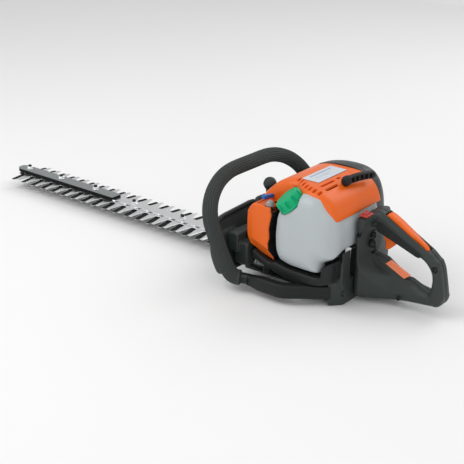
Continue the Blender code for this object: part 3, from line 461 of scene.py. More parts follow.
HANDLE_OUTLINE = rounded([(188.3, 12.0), (196, 9.5), (222, 9), (268, 13), (322, 19), (335, 22), (340, 34),
                          (338, 50), (331, 84), (325, 97), along(112, -3), along(100, 0), along(20, 0),
                          along(0, 0), (213, 159.5), (202, 155.5), (195, 150), (188.3, 150)], 6.0)
HAND_OPENING = rounded([(200, 118), (200, 98), (205, 82), (229, 79), (236, 74), (271, 53), (274, 55),
                        (302, 43), (315, 41), (318, 62), (316, 78), (306, 91), (296, 97), (250, 114),
                        (226, 127), (210, 130)], 7.0)
FLARE = rounded([(180, 8), (222, 8), (268, 12), (345, 18), (345, 41), (324, 37), (290, 31), (265, 29),
                 (240, 31), (218, 43), (203, 60), (197, 74), (196.5, 124), (204, 140), (203, 149),
                 (180, 148)], 6.0)
INLAY = rounded([along(s, d) for s, d in ((-4, -15), (3, -11), (88, -7), (93, -11), (90, -17), (8, -31),
                                          (-3, -28))], 5.0)
HANDLE_SCREWS = ((194.0, 122.0, 40.0), (322.0, 86.0, GRIP_HALF), (265.0, 20.5, 24.0))


def handle_half_width(x, z):
    """Wide in the front housing, easing along the bottom rim into the width of the grip; the web between
    the rim and the hand opening slopes in like a roof."""
    flare = polygon(x, z, FLARE)
    low = GRIP_HALF + (mm("flare_half") - GRIP_HALF) * np.clip(1.0 - (x - 200.0) / 78.0, 0.0, 1.0) ** 1.5
    above = np.maximum(ramp(z - (100.0 - 0.35 * (x - 215.0)), -6.0, 8.0), ramp(x, 306.0, 318.0))
    thin = WEB_HALF + (GRIP_HALF - WEB_HALF) * above
    slope = 0.50 + 2.6 * ramp(z, 50.0, 82.0)
    heel = 2.5 * ramp(x, 320.0, 330.0) * ramp(-z, -44.0, -34.0)
    return np.where(flare < 0.0, low, np.maximum(low - slope * flare, thin)) + heel


def handle_field(side):
    """One shell of the rear handle: the outline less the hand opening, pushed out to the half width, less
    the rooms for the levers, screws and spindle, with a fine seam where the two shells meet."""
    def field(x, y, z):
        y = y * side
        s, d = grip_frame(x, z)
        width = handle_half_width(x, z)
        ring = smooth_max(polygon(x, z, HANDLE_OUTLINE), -polygon(x, z, HAND_OPENING), 4.0)
        solid = smooth_max(ring, y - width, 12.0)
        inlay = polygon(x, z, INLAY)
        groove = np.maximum(np.abs(inlay - 0.9) - 0.9, GRIP_HALF - 1.6 - y)
        solid = smooth_max(solid, -groove, 0.8)
        lever_room = np.maximum(np.maximum(slab(s, 2.0, 94.0), -13.0 + 0.06 * s - d), y - 8.8)
        trigger_room = np.maximum(np.maximum(slab(s, 2.0, 48.0), slab(d, -44.0, -16.0)), y - 5.6)
        solid = smooth_max(solid, -lever_room, 1.0)
        solid = np.maximum(solid, -trigger_room)
        for px, pz, depth in HANDLE_SCREWS:
            off = np.sqrt((x - px) ** 2 + (z - pz) ** 2)
            solid = smooth_max(solid, -np.maximum(off - 5.2, depth - 4.5 - y), 1.2)
        shaft = np.sqrt(y * y + (z - 62.0) ** 2) - 9.3
        solid = np.maximum(solid, -np.maximum(shaft, x - 206.0))
        seam = 0.15 + 0.9 * np.maximum(1.0 - np.abs(ring + 0.6) / 1.2, 0.0)
        return smooth_max(solid, np.maximum(seam - y, 187.9 - x), 0.5)
    return field


def build_rear_handle():
    """The two shells, their pads and screws, the warning plate and the cable."""
    for side, name in ((-1, "left"), (1, "right")):
        low = (188.0, min(side * 0.1, side * 46.0), 7.0)
        high = (342.0, max(side * 0.1, side * 46.0), 163.0)
        surface(f"handle_shell_{name}", *moulded(handle_field(side), low, high, 1.15), LOOKS["charcoal"],
                "rear_handle", "charcoal", [f"handle_{name}"])
        pad = moulded(grip_pad(side), (216.0, min(side * 15, side * 21), 88.0),
                      (316.0, max(side * 15, side * 21), 160.0), 0.8)
        surface(f"grip_pad_{name}", *pad, LOOKS["black"], "rear_handle", "black", [f"grip_inlay_{name}"])
    heads = [screw_head((px, -depth + 2.2, pz), (0.0, -1.0, 0.0)) for px, pz, depth in HANDLE_SCREWS]
    build_notice()
    build_cable()
    surface("handle_screws", *gather(heads), LOOKS["black"], "rear_handle", "steel", sharp=35)


NOTICE = [(231.0, 70.0), (240.5, 78.5), (278.0, 61.5), (267.0, 53.0)]
NOTICE_PROUD, NOTICE_DEEP = 0.5, 2.5


def build_notice():
    """A plain orange plate: a grid between its four corners that follows the slope of the web and stands
    a little proud of it."""
    spots = np.array(NOTICE)
    u, v = np.meshgrid(np.linspace(0.0, 1.0, 49), np.linspace(0.0, 1.0, 21), indexing="ij")
    shares = ((1 - u) * (1 - v), (1 - u) * v, u * v, u * (1 - v))
    flat = sum(share[..., None] * spot for share, spot in zip(shares, spots))

    x, z = flat[..., 0], flat[..., 1]
    width = handle_half_width(x, z)
    outer = np.stack([x, -width - NOTICE_PROUD, z], -1)
    inner = np.stack([x, -width + NOTICE_DEEP, z], -1)
    rows, columns = x.shape
    count = rows * columns
    rim = list(range(columns)) + [r * columns + columns - 1 for r in range(1, rows)]
    rim += [count - 1 - k for k in range(1, columns)] + [r * columns for r in range(rows - 2, 0, -1)]
    front = grid_faces(rows, columns, across=False)
    faces = [face[::-1] for face in front] + [[k + count for k in face] for face in front]
    faces += [[a, b, b + count, a + count] for a, b in zip(rim, rim[1:] + rim[:1])]
    surface("notice_plate", np.concatenate([outer.reshape(-1, 3), inner.reshape(-1, 3)]), faces,
            LOOKS["notice"], "rear_handle", "orange", sharp=40)


def build_cable():
    """The throttle cable where it crosses the hand opening: a tube along an eased path, with a collar."""
    path = eased([(203.0, -6.0, 127.0), (203.0, -8.0, 114.0), (206.0, -12.0, 104.0), (212.0, -14.0, 95.0),
                  (210.0, -13.0, 86.0), (204.0, -10.0, 82.0), (199.0, -6.0, 78.0)], 0.8, 8.0)
    collar = lathe([(4.4, 0.0), (5.4, 0.8), (5.4, 4.0), (4.2, 5.0), (4.2, 9.0), (3.2, 9.6)],
                   (203.0, -8.0, 108.0), (0.05, 0.1, 1.0), 32)
    ball = [(7.4 * cos(t), 7.4 * sin(t)) for t in np.linspace(-1.4, 1.4, 20)]
    knob = lathe(ball, (203.5, -11.0, 99.0), (0.3, -1.0, 0.0), 36)
    cable = closed_grid(carried(path, ring_section(2.3, around=20), (0.0, 1.0, 0.1)))
    surface("throttle_cable", *gather([cable, collar, knob]), LOOKS["black"], "rear_handle", "black",
            sharp=50)


def grip_pad(side):
    """A pad sunk into the grip's side, with fine bars across its rear half."""
    def field(x, y, z):
        s, _ = grip_frame(x, z)
        bars = 0.35 * (0.5 - 0.5 * np.cos(tau * s / 3.4)) * ramp(s, 34.0, 44.0)
        return smooth_max(polygon(x, z, INLAY) + 0.2, slab(y * side, 15.6, GRIP_HALF + 1.5) + bars, 2.4)
    return field


def screw_head(place, axis, radius=3.7):
    """A pan head with a hexagon socket."""
    profile = [(radius, 0.0), (radius, 1.4), (radius * 0.85, 2.2), (radius * 0.55, 2.4),
               (radius * 0.5, 2.3), (radius * 0.48, 0.9)]

    def shape(angle, h):
        socket = hexagon(angle, h)
        inner = np.arange(len(profile))[:, None] >= 4
        return np.where(inner, socket * 0.95, 1.0)
    return lathe(profile, place, axis, 36, shape)


LEVER = rounded([along(s, d) for s, d in ((4, -6), (92, -5), (94, -2.0), (84, 1.6), (52, 3.4), (26, 5.0),
                                          (9, 4.4), (4, 1.0))], 3.0)
TRIGGER = rounded([along(s, d) for s, d in ((5, -19.5), (30, -27), (42, -33), (43, -38), (38, -54),
                                            (33, -55.5), (27, -44), (15, -37), (5, -31))], 5.0)


def build_controls():
    """Side outlines pushed across and rounded: the lock lever narrows towards its rear, the trigger is a
    hook, and the switch is a block with a ribbed hump."""
    def lever(x, y, z):
        s, _ = grip_frame(x, z)
        half = 8.0 - 2.4 * ramp(s, 55.0, 75.0)
        return smooth_max(polygon(x, z, LEVER), np.abs(y) - half, 4.0)

    def trigger(x, y, z):
        return smooth_max(polygon(x, z, TRIGGER), np.abs(y) - 5.0, 2.6)

    def switch(x, y, z):
        base = block(x, y, z, (190.6, -37.0, 151.5), (206.4, -15.0, 154.6), 1.2)
        hump = block(x, y, z, (193.6, -32.0, 152.0), (203.4, -20.0, 159.4), 3.0)
        dip = 0.7 * (0.5 + 0.5 * np.cos(tau * y / 2.6)) * ramp(z, 157.0, 159.0)
        return smooth_min(base, hump + dip, 1.6)

    surface("lockout_lever", *moulded(lever, (225.0, -9.0, 98.0), (312.0, 9.0, 162.0), 0.8),
            LOOKS["lever_orange"], "lockout", "orange", ["throttle_lock"])
    surface("throttle_trigger", *moulded(trigger, (205.0, -6.0, 80.0), (262.0, 6.0, 142.0), 0.75),
            LOOKS["lever_orange"], "throttle", "orange", ["trigger"])
    surface("stop_button", *moulded(switch, (189.0, -39.0, 150.0), (208.0, -13.0, 161.0), 0.6),
            LOOKS["red"], "switch", "red", ["stop_switch"])


# Tank and body ------------------------------------------------------------------------------

TANK_FRONT, TANK_REAR, TANK_LEFT = 68.0, 184.0, -112.0
BODY_TOP, BODY_SPLIT, BODY_RIGHT, SHELL = 199.0, 44.0, 88.0, 4.0
SLOT_DEPTH = 3.3
TANK_OUTLINE = rounded([(TANK_FRONT + 10, 64), (TANK_FRONT + 1, 82), (TANK_FRONT - 0.5, 112),
                        (TANK_FRONT + 3, 144), (TANK_FRONT + 16, 170), (TANK_FRONT + 38, 187),
                        (TANK_FRONT + 60, 193), (TANK_FRONT + 84, 190), (TANK_REAR - 20, 178),
                        (TANK_REAR - 6, 160), (TANK_REAR, 140), (TANK_REAR, 92), (TANK_REAR - 18, 82),
                        (TANK_REAR - 23, 78), (TANK_REAR - 24, 62), (TANK_REAR - 34, 58),
                        (TANK_FRONT + 34, 58)], 8.0)
CAP_AXIS = np.array((-0.55, -0.35, 0.75)) / np.linalg.norm((-0.55, -0.35, 0.75))
CAP_SEAT = np.array((TANK_FRONT + 36.0, -92.0, 164.0))
SHROUD_TOP = [(10, BODY_TOP - 50), (13, BODY_TOP - 41), (38, BODY_TOP - 17), (62, BODY_TOP - 4),
              (90, BODY_TOP), (138, BODY_TOP), (158, BODY_TOP - 6), (173, BODY_TOP - 19),
              (181, BODY_TOP - 36), (183.5, BODY_TOP - 46)]
SHROUD_OUTLINE = rounded(SHROUD_TOP + [(183.5, 90), (10, 90)], 16.0)
DOME_OUTLINE = rounded([(10, 60), (8, 146), (24, BODY_TOP - 26), (58, BODY_TOP - 6),
                        (92, BODY_TOP + 1.5), (130, BODY_TOP + 1.5), (150, BODY_TOP - 6),
                        (163, BODY_TOP - 20), (172, BODY_TOP - 44), (175, 118), (169, 60)], 16.0)


def tank_field(x, y, z):
    """A blow-moulded can: the outline pushed across with wide rounding, a shoulder behind the engine
    and a neck for the cap."""
    outline = polygon(x, z, TANK_OUTLINE)
    pillow = 3.0 * ramp(-outline, 2.0, 34.0)
    main = smooth_max(outline, slab(y, TANK_LEFT + 1.5, -70.0) - pillow * (y < -91.0), 26.0)
    rear = smooth_max(smooth_max(outline, 153.0 - x, 4.0), slab(y, -90.0, BODY_SPLIT - 2.0), 14.0)
    rear = smooth_max(rear, 97.0 - z, 8.0)
    neck = rod(x, y, z, CAP_SEAT - CAP_AXIS * 14.0, CAP_SEAT + CAP_AXIS * 4.0, 21.0, 1.0)
    whole = smooth_min(smooth_min(main, rear, 10.0), neck, 7.0)
    room = rod(x, y, z, CAP_SEAT + CAP_AXIS * 3.6, CAP_SEAT + CAP_AXIS * 60.0, 25.4, 0.5)
    return smooth_max(whole, -room, 1.0)


def saddle_edge(x):
    """How far left the shroud reaches: over the engine only at the front, over the tank behind."""
    return -67.0 - 31.0 * (1.0 - np.clip((140.0 - x) / 52.0, 0.0, 1.0) ** 2)


def shroud_field(x, y, z):
    """A bent skin with a lip turned down along its left edge, cut by two rows of slots."""
    top = polygon(x, z, SHROUD_OUTLINE)
    solid = smooth_max(top, saddle_edge(x) - y, 20.0)
    skin = smooth_max(solid, -(solid + SHELL), 0.8)
    lip = 12.0 + 34.0 * ramp(-x, -84.0, -62.0)
    skin = smooth_max(skin, -(top + lip), 1.0)
    skin = smooth_max(skin, (150.0 + 0.02 * x) - z, 1.0)
    for k in range(7):
        sx = 84.0 + 10.3 * k
        middle = saddle_edge(sx) + 13.0
        cut = block(x, y, z, (sx - 2.3, middle - 5.0, 150.0), (sx + 2.3, middle + 6.0, 210.0), 1.4)
        skin = smooth_max(skin, -np.maximum(cut, -(solid + SLOT_DEPTH)), 0.6)
    for sx, y0, y1 in ((134.0, -66.0, -26.0), (146.5, -70.0, -34.0), (133.0, -18.0, -7.0)):
        cut = block(x, y, z, (sx - 2.5, y0, 150.0), (sx + 2.5, y1, 210.0), 1.8)
        skin = smooth_max(skin, -np.maximum(cut, -(solid + SLOT_DEPTH)), 0.6)
    seat = block(x, y, z, (88.0, -56.0, BODY_TOP - 0.7), (123.5, 30.0, BODY_TOP + 5.0), 0.5)
    return smooth_max(smooth_max(skin, -seat, 0.6), y - BODY_SPLIT, 0.8)


def dome_field(x, y, z):
    """A deep skin over the silencer, with a raised rib beside the shroud and slots for the exhaust."""
    side = polygon(x, z, DOME_OUTLINE)
    rib = 1.6 * ramp(-y, -(BODY_SPLIT + 7.0), -(BODY_SPLIT + 5.8)) - 1.0 * ramp(
        2.0 - np.abs(y - BODY_SPLIT - 8.6), 0.0, 1.2)
    solid = smooth_max(side - rib, y - BODY_RIGHT, 26.0)
    skin = smooth_max(solid, -(solid + SHELL + 0.6), 0.8)
    skin = smooth_max(skin, np.maximum(84.0 - z, BODY_SPLIT + 0.3 - y), 1.0)
    for k in range(5):
        level = 104.0 + 11.0 * k
        cut = block(x, y, z, (-5.0, BODY_SPLIT + 14.0, level), (30.0, BODY_RIGHT - 14.0, level + 5.0), 2.0)
        skin = smooth_max(skin, -cut, 1.0)
    for k in range(6):
        level = 102.0 + 9.0 * k
        cut = block(x, y, z, (96.0, BODY_RIGHT - 6.0, level), (148.0, BODY_RIGHT + 9.0, level + 4.2), 1.8)
        skin = smooth_max(skin, -cut, 1.0)
    panel = np.abs(block(x, 0.0, z, (86.0, -20.0, 94.0), (158.0, 20.0, 162.0), 9.0)) - 0.9
    skin = smooth_max(skin, -np.maximum(panel, BODY_RIGHT - 1.0 - y), 0.8)
    intake = block(x, y, z, (26.0, 40.0, BODY_TOP - 24.0), (54.0, BODY_SPLIT + 9.0, BODY_TOP + 4.0), 2.0)
    return smooth_max(skin, -intake, 1.0)


FILTER_OUTLINE = rounded([(14, 141), (12.3, 122), (12.6, 98), (19, 80), (34, 65), (65, 57.5), (66, 64),
                          (59, 78), (57.5, 90), (60.5, 98), (59.5, 118), (65, 144), (62, 155.5),
                          (26, 155.5)], 2.5)


def filter_field(x, y, z):
    """A shallow box whose face falls away below a crease, with a well for the choke tab on top and a
    round well for the primer beside it."""
    face = -107.0 + 0.55 * np.maximum(92.0 - 0.32 * (x - 26.0) - z, 0.0) * ramp(x, 12.0, 30.0)
    face = face + 0.22 * np.maximum(26.0 - x, 0.0)
    solid = smooth_max(polygon(x, z, FILTER_OUTLINE), np.maximum(face - y, y + 54.0), 2.6)
    well = block(x, y, z, (29.0, -99.0, 152.0), (48.0, -60.0, 165.0), 2.0)
    hole = block(x, y, z, (50.5, -82.0, 146.0), (56.0, -72.0, 165.0), 1.0)
    bulb = np.maximum(np.sqrt((x - 54.0) ** 2 + (y + 95.0) ** 2) - 9.4, 148.0 - z)
    solid = smooth_max(smooth_max(smooth_max(solid, -well, 1.0), -hole, 0.8), -bulb, 1.0)
    groove = np.maximum(np.abs(z - 0.10 * x - 141.0) - 0.8, face + 1.2 - y)
    inner = np.maximum(polygon(x, z, FILTER_OUTLINE) + 3.0, np.maximum(face + 3.4 - y, z - 148.0))
    return smooth_max(smooth_max(solid, -groove, 0.6), -inner, 0.8)


TRAY_OUTLINE = rounded([(20, 64), (24, 54), (60, 43), (84, 37), (124, 34), (160, 40), (183, 50),
                        (184, 86), (170, 78), (164, 74), (163, 57), (152, 54), (100, 55), (84, 57),
                        (72, 60), (60, 56), (40, 64), (26, 72)], 5.0)


def tray_field(x, y, z):
    """A side outline pushed across under the engine, with a rib every 12 mm."""
    rib = 0.8 * ramp(np.cos(tau * y / 12.0), 0.80, 0.95)
    return smooth_max(polygon(x, z, TRAY_OUTLINE) - rib, slab(y, -105.0, -50.0), 6.0)


def blacken_side(lid):
    """The lid's rear side, facing the tank, belongs to its black housing."""
    count = len(lid.data.polygons)
    normal, centre = np.empty(count * 3), np.empty(count * 3)
    lid.data.polygons.foreach_get("normal", normal)
    lid.data.polygons.foreach_get("center", centre)
    normal, centre = normal.reshape(-1, 3), centre.reshape(-1, 3) / MM
    black = (normal[:, 0] > 0.45) & (centre[:, 0] > 50.0 + DATUM / MM) & (centre[:, 1] > -104.5)
    lid.data.polygons.foreach_set("material_index", black.astype(np.int32))


def build_body():
    """The shells round the engine, each the zero surface of its own field."""
    surface("tank_shell", *moulded(tank_field, (66.0, -115.0, 56.0), (186.0, 44.0, 196.0), 1.6),
            LOOKS["tank"], "machine", "tank", ["fuel_tank"])
    surface("shroud_shell", *moulded(shroud_field, (9.0, -101.0, 148.0), (185.0, 44.5, 200.0), 1.15),
            LOOKS["orange"], "machine", "orange", ["top_shroud"])
    surface("dome_shell", *moulded(dome_field, (6.0, 43.5, 82.0), (177.0, 89.0, 204.0), 1.3),
            LOOKS["charcoal_smooth"], "machine", "charcoal", ["right_cover"])
    lid = surface("filter_lid", *moulded(filter_field, (10.0, -109.0, 55.0), (68.0, -52.0, 158.0), 1.0),
            [LOOKS["orange"], LOOKS["black"]], "machine", "orange", ["filter_cover"])
    blacken_side(lid)
    surface("tray_shell", *moulded(tray_field, (11.0, -107.0, 32.0), (186.0, -48.0, 92.0), 1.5),
            LOOKS["black"], "machine", "black", ["engine_tray"])


def build_label():
    """A plain plate with a darker band and fine rules where a name would be."""
    low, high = np.array((89.0, -55.0)), np.array((122.5, 29.0))
    z = BODY_TOP - 0.3

    def plate(a, b, bottom, top):
        def field(x, y, z):
            return block(x, y, z, (a[0], a[1], bottom), (b[0], b[1], top), 0.5)
        return moulded(field, (a[0] - 1, a[1] - 1, bottom - 1), (b[0] + 1, b[1] + 1, top + 1), 0.55)

    surface("label_plate", *plate(low, high, z, z + 1.1), LOOKS["label"], "machine", "label", ["top_label"])
    bands = []
    for x0, x1, y0, y1 in ((95.0, 98.6, -44.0, 20.0), (105.0, 106.2, -44.0, 4.0),
                           (109.0, 110.2, -44.0, -6.0)):
        bands.append(plate((x0, y0), (x1, y1), z + 0.5, z + 1.35))
    surface("label_bands", *gather(bands), LOOKS["print"], "machine", "label")


def build_cap():
    """A lathed skirt and dished top, with notches pressed into the skirt where the cosine of the angle,
    taken half as many times as there are notches, is near 1 or -1."""
    notches = bpy.context.scene.trimmer_sizes.cap_notches
    base = CAP_SEAT + CAP_AXIS * 4.6
    profile = [(20.0, 0.0), (23.2, 0.0), (24.0, 0.8), (24.0, 2.2), (24.0, 3.4), (24.0, 5.0), (23.9, 10.0),
               (23.6, 14.5), (23.2, 16.4), (22.2, 18.2), (20.4, 19.4), (18.2, 19.8), (17.2, 19.6),
               (16.6, 18.8), (15.8, 18.5), (6.0, 18.7), (2.0, 18.8)]

    def shape(angle, h):
        notch = np.clip((np.abs(np.cos(notches / 2.0 * angle)) - 0.84) / 0.10, 0.0, 1.0)
        return 1.0 - 0.115 * notch * ramp(h, 3.0, 4.2) * ramp(-h, -18.6, -15.5)
    surface("tank_cap", *lathe(profile, base, CAP_AXIS, 288, shape), LOOKS["green"], "cap", "green",
            ["fuel_cap"], sharp=50)
    ring = lathe([(20.5, -6.0), (22.6, -6.0), (23.0, -4.6), (22.6, -3.2), (20.5, -3.2)],
                 CAP_SEAT + CAP_AXIS * 4.6, CAP_AXIS, 96)
    surface("neck_ring", *ring, LOOKS["tank"], "machine", "tank")


def build_small_controls():
    """The choke tab, and two lathed pieces: the primer's dome and the plug's boot with its ball."""
    def tab(x, y, z):
        level = z - 0.16 * (-63.0 - y)
        half = 3.0 + 0.9 * ramp(-y, 74.0, 92.0)
        return smooth_max(np.maximum(np.abs(x - 38.0) - half, slab(level, 156.6, 163.4)),
                          slab(y, -94.0, -62.0), 3.0)
    surface("choke_tab", *moulded(tab, (32.0, -96.0, 155.0), (44.0, -60.0, 169.0), 0.6), LOOKS["blue"],
            "choke", "blue", ["choke_lever"])
    bulb = [(8.0, 0.2), (8.2, 1.0), (7.9, 2.4), (7.2, 4.8), (5.9, 7.0), (4.2, 8.8), (2.2, 9.8), (0.8, 10.1)]
    surface("primer_dome", *lathe(bulb, (54.0, -95.0, 154.5), around=40), LOOKS["bulb"], "primer", "clear",
            ["primer_bulb"])
    low, high = edges("plug_cap")
    ball = (low + high) / 2.0
    ball[2] = high[2] - 12.0
    foot = low[2] - ball[2]
    knob = [(7.6, foot), (8.4, foot + 1.0), (8.4, foot + 6.0), (7.6, foot + 7.0), (7.0, -14.0)]
    knob += [(12.0 * cos(t) + 0.25 * cos(7.0 * t), 12.0 * sin(t)) for t in np.linspace(-0.9, 1.5, 26)]
    surface("plug_boot", *lathe(knob, ball, around=56), LOOKS["charcoal"], "machine", "black", ["plug_cap"])


# Starter, front loop, rails and guard -------------------------------------------------------

def build_starter():
    """A rounded bar, thicker at the rope's end, with a row of windows through it."""
    middle = np.array((163.0, 3.0, BODY_TOP + 4.0))
    run = np.array((0.26, 0.966, 0.0))

    def grip(x, y, z):
        t = (x - middle[0]) * run[0] + (y - middle[1]) * run[1]
        across = (x - middle[0]) * -run[1] + (y - middle[1]) * run[0]
        level = z - middle[2] + 0.0022 * t * t
        core = smooth_max(np.sqrt(across ** 2 + (level * 0.92) ** 2) - 6.7 - 1.3 * ramp(-t, 18.0, 27.0),
                          np.abs(t) - 34.5, 5.0)
        for k in (-19.0, -9.0, 1.0, 11.0, 21.0):
            window = smooth_max(np.abs(t - k) - 3.4, np.abs(level + 0.2) - 3.9, 1.0)
            core = smooth_max(core, -window, 0.8)
        return core
    surface("pull_handle", *moulded(grip, (144.0, -35.0, 192.0), (182.0, 41.0, 214.0), 0.8),
            LOOKS["black"], "pull_grip", "black", ["starter_grip"])


LOOP_LEAN, LEG_SHARE = 0.46, 0.52
FOOT = np.array((8.0, 0.0, 25.0))
SLEEVE_BORE = 10.2


def loop_point(y, z):
    """A point in the plane of the loop, which leans forward as it rises."""
    return np.array((FOOT[0] - LOOP_LEAN * (z - FOOT[2]), y, z))


def loop_path():
    """Up one leg, round a quarter ellipse at each shoulder, across the top and down to the other rail."""
    half = mm("loop_half")
    rise = mm("loop_top") - FOOT[2]
    leg = rise * LEG_SHARE
    turn = [(0.72 * (1.0 - cos(t)), sin(t)) for t in np.linspace(0.0, pi / 2.0, 15)]
    shoulder = [loop_point(half * (across - 1.0), FOOT[2] + leg + (rise - leg) * up) for across, up in turn]
    left = [np.array((36.0, -126.0, 25.0)), np.array((24.0, -126.5, 25.0)),
            np.array((12.0, 10.0 - half, 24.5)), loop_point(4.0 - half, 31.0), loop_point(-half, 62.0)]
    left += shoulder
    mirror = np.array((1.0, -1.0, 1.0))
    return eased(left + [point * mirror for point in reversed(left)], 2.0, 16.0)


def ring_section(radius, ribs=0, depth=0.0, around=48):
    """A circle as (u, v), its radius less a rib pattern that fades out at both ends."""
    angle = np.linspace(0.0, tau, around, endpoint=False)[None, :]

    def section(t):
        r = np.broadcast_to(np.asarray(radius(t) if callable(radius) else radius, float), t.shape)
        r = r * np.ones_like(angle)
        if ribs:
            fade = ramp(t, 0.004, 0.02) * ramp(-t, -0.996, -0.98)
            r = r - depth * fade * np.clip(np.abs(np.cos(ribs * angle / 2.0)) * 1.6 - 0.3, 0.0, 1.0)
        return r * np.cos(angle), r * np.sin(angle)
    return section


def build_loop():
    """The bare tube along the whole path, and the ribbed sleeve along nearly all of it."""
    path = loop_path()
    tube = carried(path, ring_section(mm("tube_radius")), (1.0, 0.0, 0.3))
    surface("loop_tube", *closed_grid(tube), LOOKS["black"], "machine", "black", ["front_loop"])
    share = slice(int(len(path) * 0.028), int(len(path) * 0.972))

    def radius(t):
        end = np.minimum(ramp(t, 0.0, 0.004), ramp(-t, -1.0, -0.996))
        return SLEEVE_BORE + (mm("sleeve_radius") - SLEEVE_BORE) * end
    ribs = bpy.context.scene.trimmer_sizes.sleeve_ribs
    sleeve = carried(path[share], ring_section(radius, ribs, 1.3, 200), (1.0, 0.0, 0.3))
    surface("loop_sleeve", *closed_grid(sleeve), LOOKS["soft_rubber"], "machine", "rubber", ["loop_grip"])


def channel_section(width, height, edge, start):
    """A rounded rectangle as (u, v) that grows from a share of its size over the first fifth."""
    corners = rounded([(-width / 2, -height / 2), (width / 2, -height / 2), (width / 2, height / 2),
                       (-width / 2, height / 2)], edge, 5)
    outline = np.array(corners)

    def section(t):
        size = start + (1.0 - start) * ramp(t, 0.0, 0.2)
        return outline[:, 0] * size, outline[:, 1] * size
    return section


def build_rails():
    """A rounded box section carried back from the loop's foot and in towards the rear carrier."""
    for side, name in ((-1, "left"), (1, "right")):
        front = edges(f"side_bar_{name}")[0][0]
        corners = [(front, 126.0 * side, 24.5), (104.0, 126.0 * side, 24.5), (168.0, 77.0 * side, 24.5)]
        path = eased(corners, 1.5, 16.0)
        rail = carried(path, channel_section(17.0, 24.5, 5.0, 0.76), (0.0, 0.0, 1.0))
        surface(f"side_rail_{name}", *closed_grid(rail), LOOKS["black"], "machine", "black",
                [f"side_bar_{name}"], sharp=40)


GUARD_ORIGIN = np.array((-11.5, 0.0, 25.0))
GUARD_UP = np.array((-0.418, 0.0, 0.908))
GUARD_FACE = np.array((0.908, 0.0, 0.418))


def guard_field(x, y, z):
    """A plate leaning with the loop: its outline less the window over the blade case, a rim all round,
    ribs and a box each side where it is bolted on."""
    dx, dz = x - GUARD_ORIGIN[0], z - GUARD_ORIGIN[2]
    v = dx * GUARD_UP[0] + dz * GUARD_UP[2]
    w = dx * GUARD_FACE[0] + dz * GUARD_FACE[2]
    mirrored = np.abs(y)
    outline = polygon(mirrored, v, GUARD_OUTLINE)
    window = polygon(mirrored, v, GUARD_WINDOW)
    shape = smooth_max(outline, -window, 3.0)
    rim = 4.2 * ramp(shape, -7.5, -6.0)
    bow = 0.02 * mirrored
    ribs = 1.2 * ramp(np.cos(tau * (v - 55.0) / 15.0), 0.86, 0.96) * ramp(v, 50.0, 54.0)
    ribs = ribs * ramp(-mirrored, -112.0, -106.0)
    plate = smooth_max(shape, np.maximum(w + bow - 2.0 - rim, -2.6 - ribs * 0.8 - w - bow - rim * 0.4), 2.0)
    boss = smooth_max(smooth_max(np.abs(mirrored - 91.0) - 22.0, np.abs(v - 40.0) - 27.0, 14.0),
                      slab(w, -13.0, 2.0), 7.0)
    inner = smooth_max(smooth_max(np.abs(mirrored - 91.0) - 12.0, np.abs(v - 42.0) - 15.0, 6.0),
                       np.maximum(-30.0 - w, w + 10.8), 1.0)
    boss = smooth_max(boss, -inner, 1.0)
    return smooth_min(plate, boss, 5.0)


GUARD_OUTLINE = rounded([(0, 100), (96, 96), (116, 88), (132, 70), (147, 40), (147, 8), (140, 0), (0, 0)],
                        14.0)
GUARD_WINDOW = rounded([(0, 42), (46, 42), (54, 34), (54, 10), (0, 10)], 7.0)


def build_guard():
    """The guard as one closed surface."""
    surface("guard_plate", *moulded(guard_field, (-56.0, -149.0, 20.0), (12.0, 149.0, 120.0), 1.55),
            LOOKS["charcoal"], "machine", "charcoal", ["hand_guard"])


# Blades -------------------------------------------------------------------------------------

STROKE_HALF, CASE_PITCHES = 7.75, 22
STUD_PITCHES = (0.1, 3.4, 6.8, 10.4, 14.6)
ROOT_Y, ROOT_HALF, TIP_HALF, EDGE_SHARE = 14.5, 9.3, 3.7, 0.3
RING_REACH, RING_HALF, RING_WALL = 38.0, 30.25, 6.5


def stud_places():
    """Where the blade studs stand along X."""
    return [(pitch - CASE_PITCHES) * mm("tooth_pitch") for pitch in STUD_PITCHES]


def teeth_outline(shift):
    """One side of a blade: each tooth rises from its root to a flat tip with eased corners, and a flat
    gullet joins it to the next."""
    tip = mm("tooth_reach")
    rise = [(-ROOT_HALF - 3.0, ROOT_Y), (-ROOT_HALF, ROOT_Y + 2.2), (-TIP_HALF - 0.4, tip - 1.8),
            (1.0 - TIP_HALF, tip)]
    tooth = rise + [(-x, y) for x, y in reversed(rise)]
    middles = [(n - CASE_PITCHES) * mm("tooth_pitch") + shift
               for n in range(bpy.context.scene.trimmer_sizes.teeth)]
    return [(middle + x, y) for middle in middles for x, y in tooth]


def build_blades():
    """Two blades of one outline, the upper a stroke behind the lower."""
    for name, node, body, shift, looks in (
            # The lower blade's flat faces take the near-black finish, painted shade and dark reflection on
            # steel; its ground edges stay bright.
            ("lower_cutter", "blade_lower", "blade_low", 0.0, ("painted_shade_dark", "edge_steel")),
            ("upper_cutter", "blade_upper", "blade_high", 2.0 * STROKE_HALF, ("steel", "edge_steel"))):
        low, high = edges(node)
        build_blade(name, node, body, shift, looks, low, high)


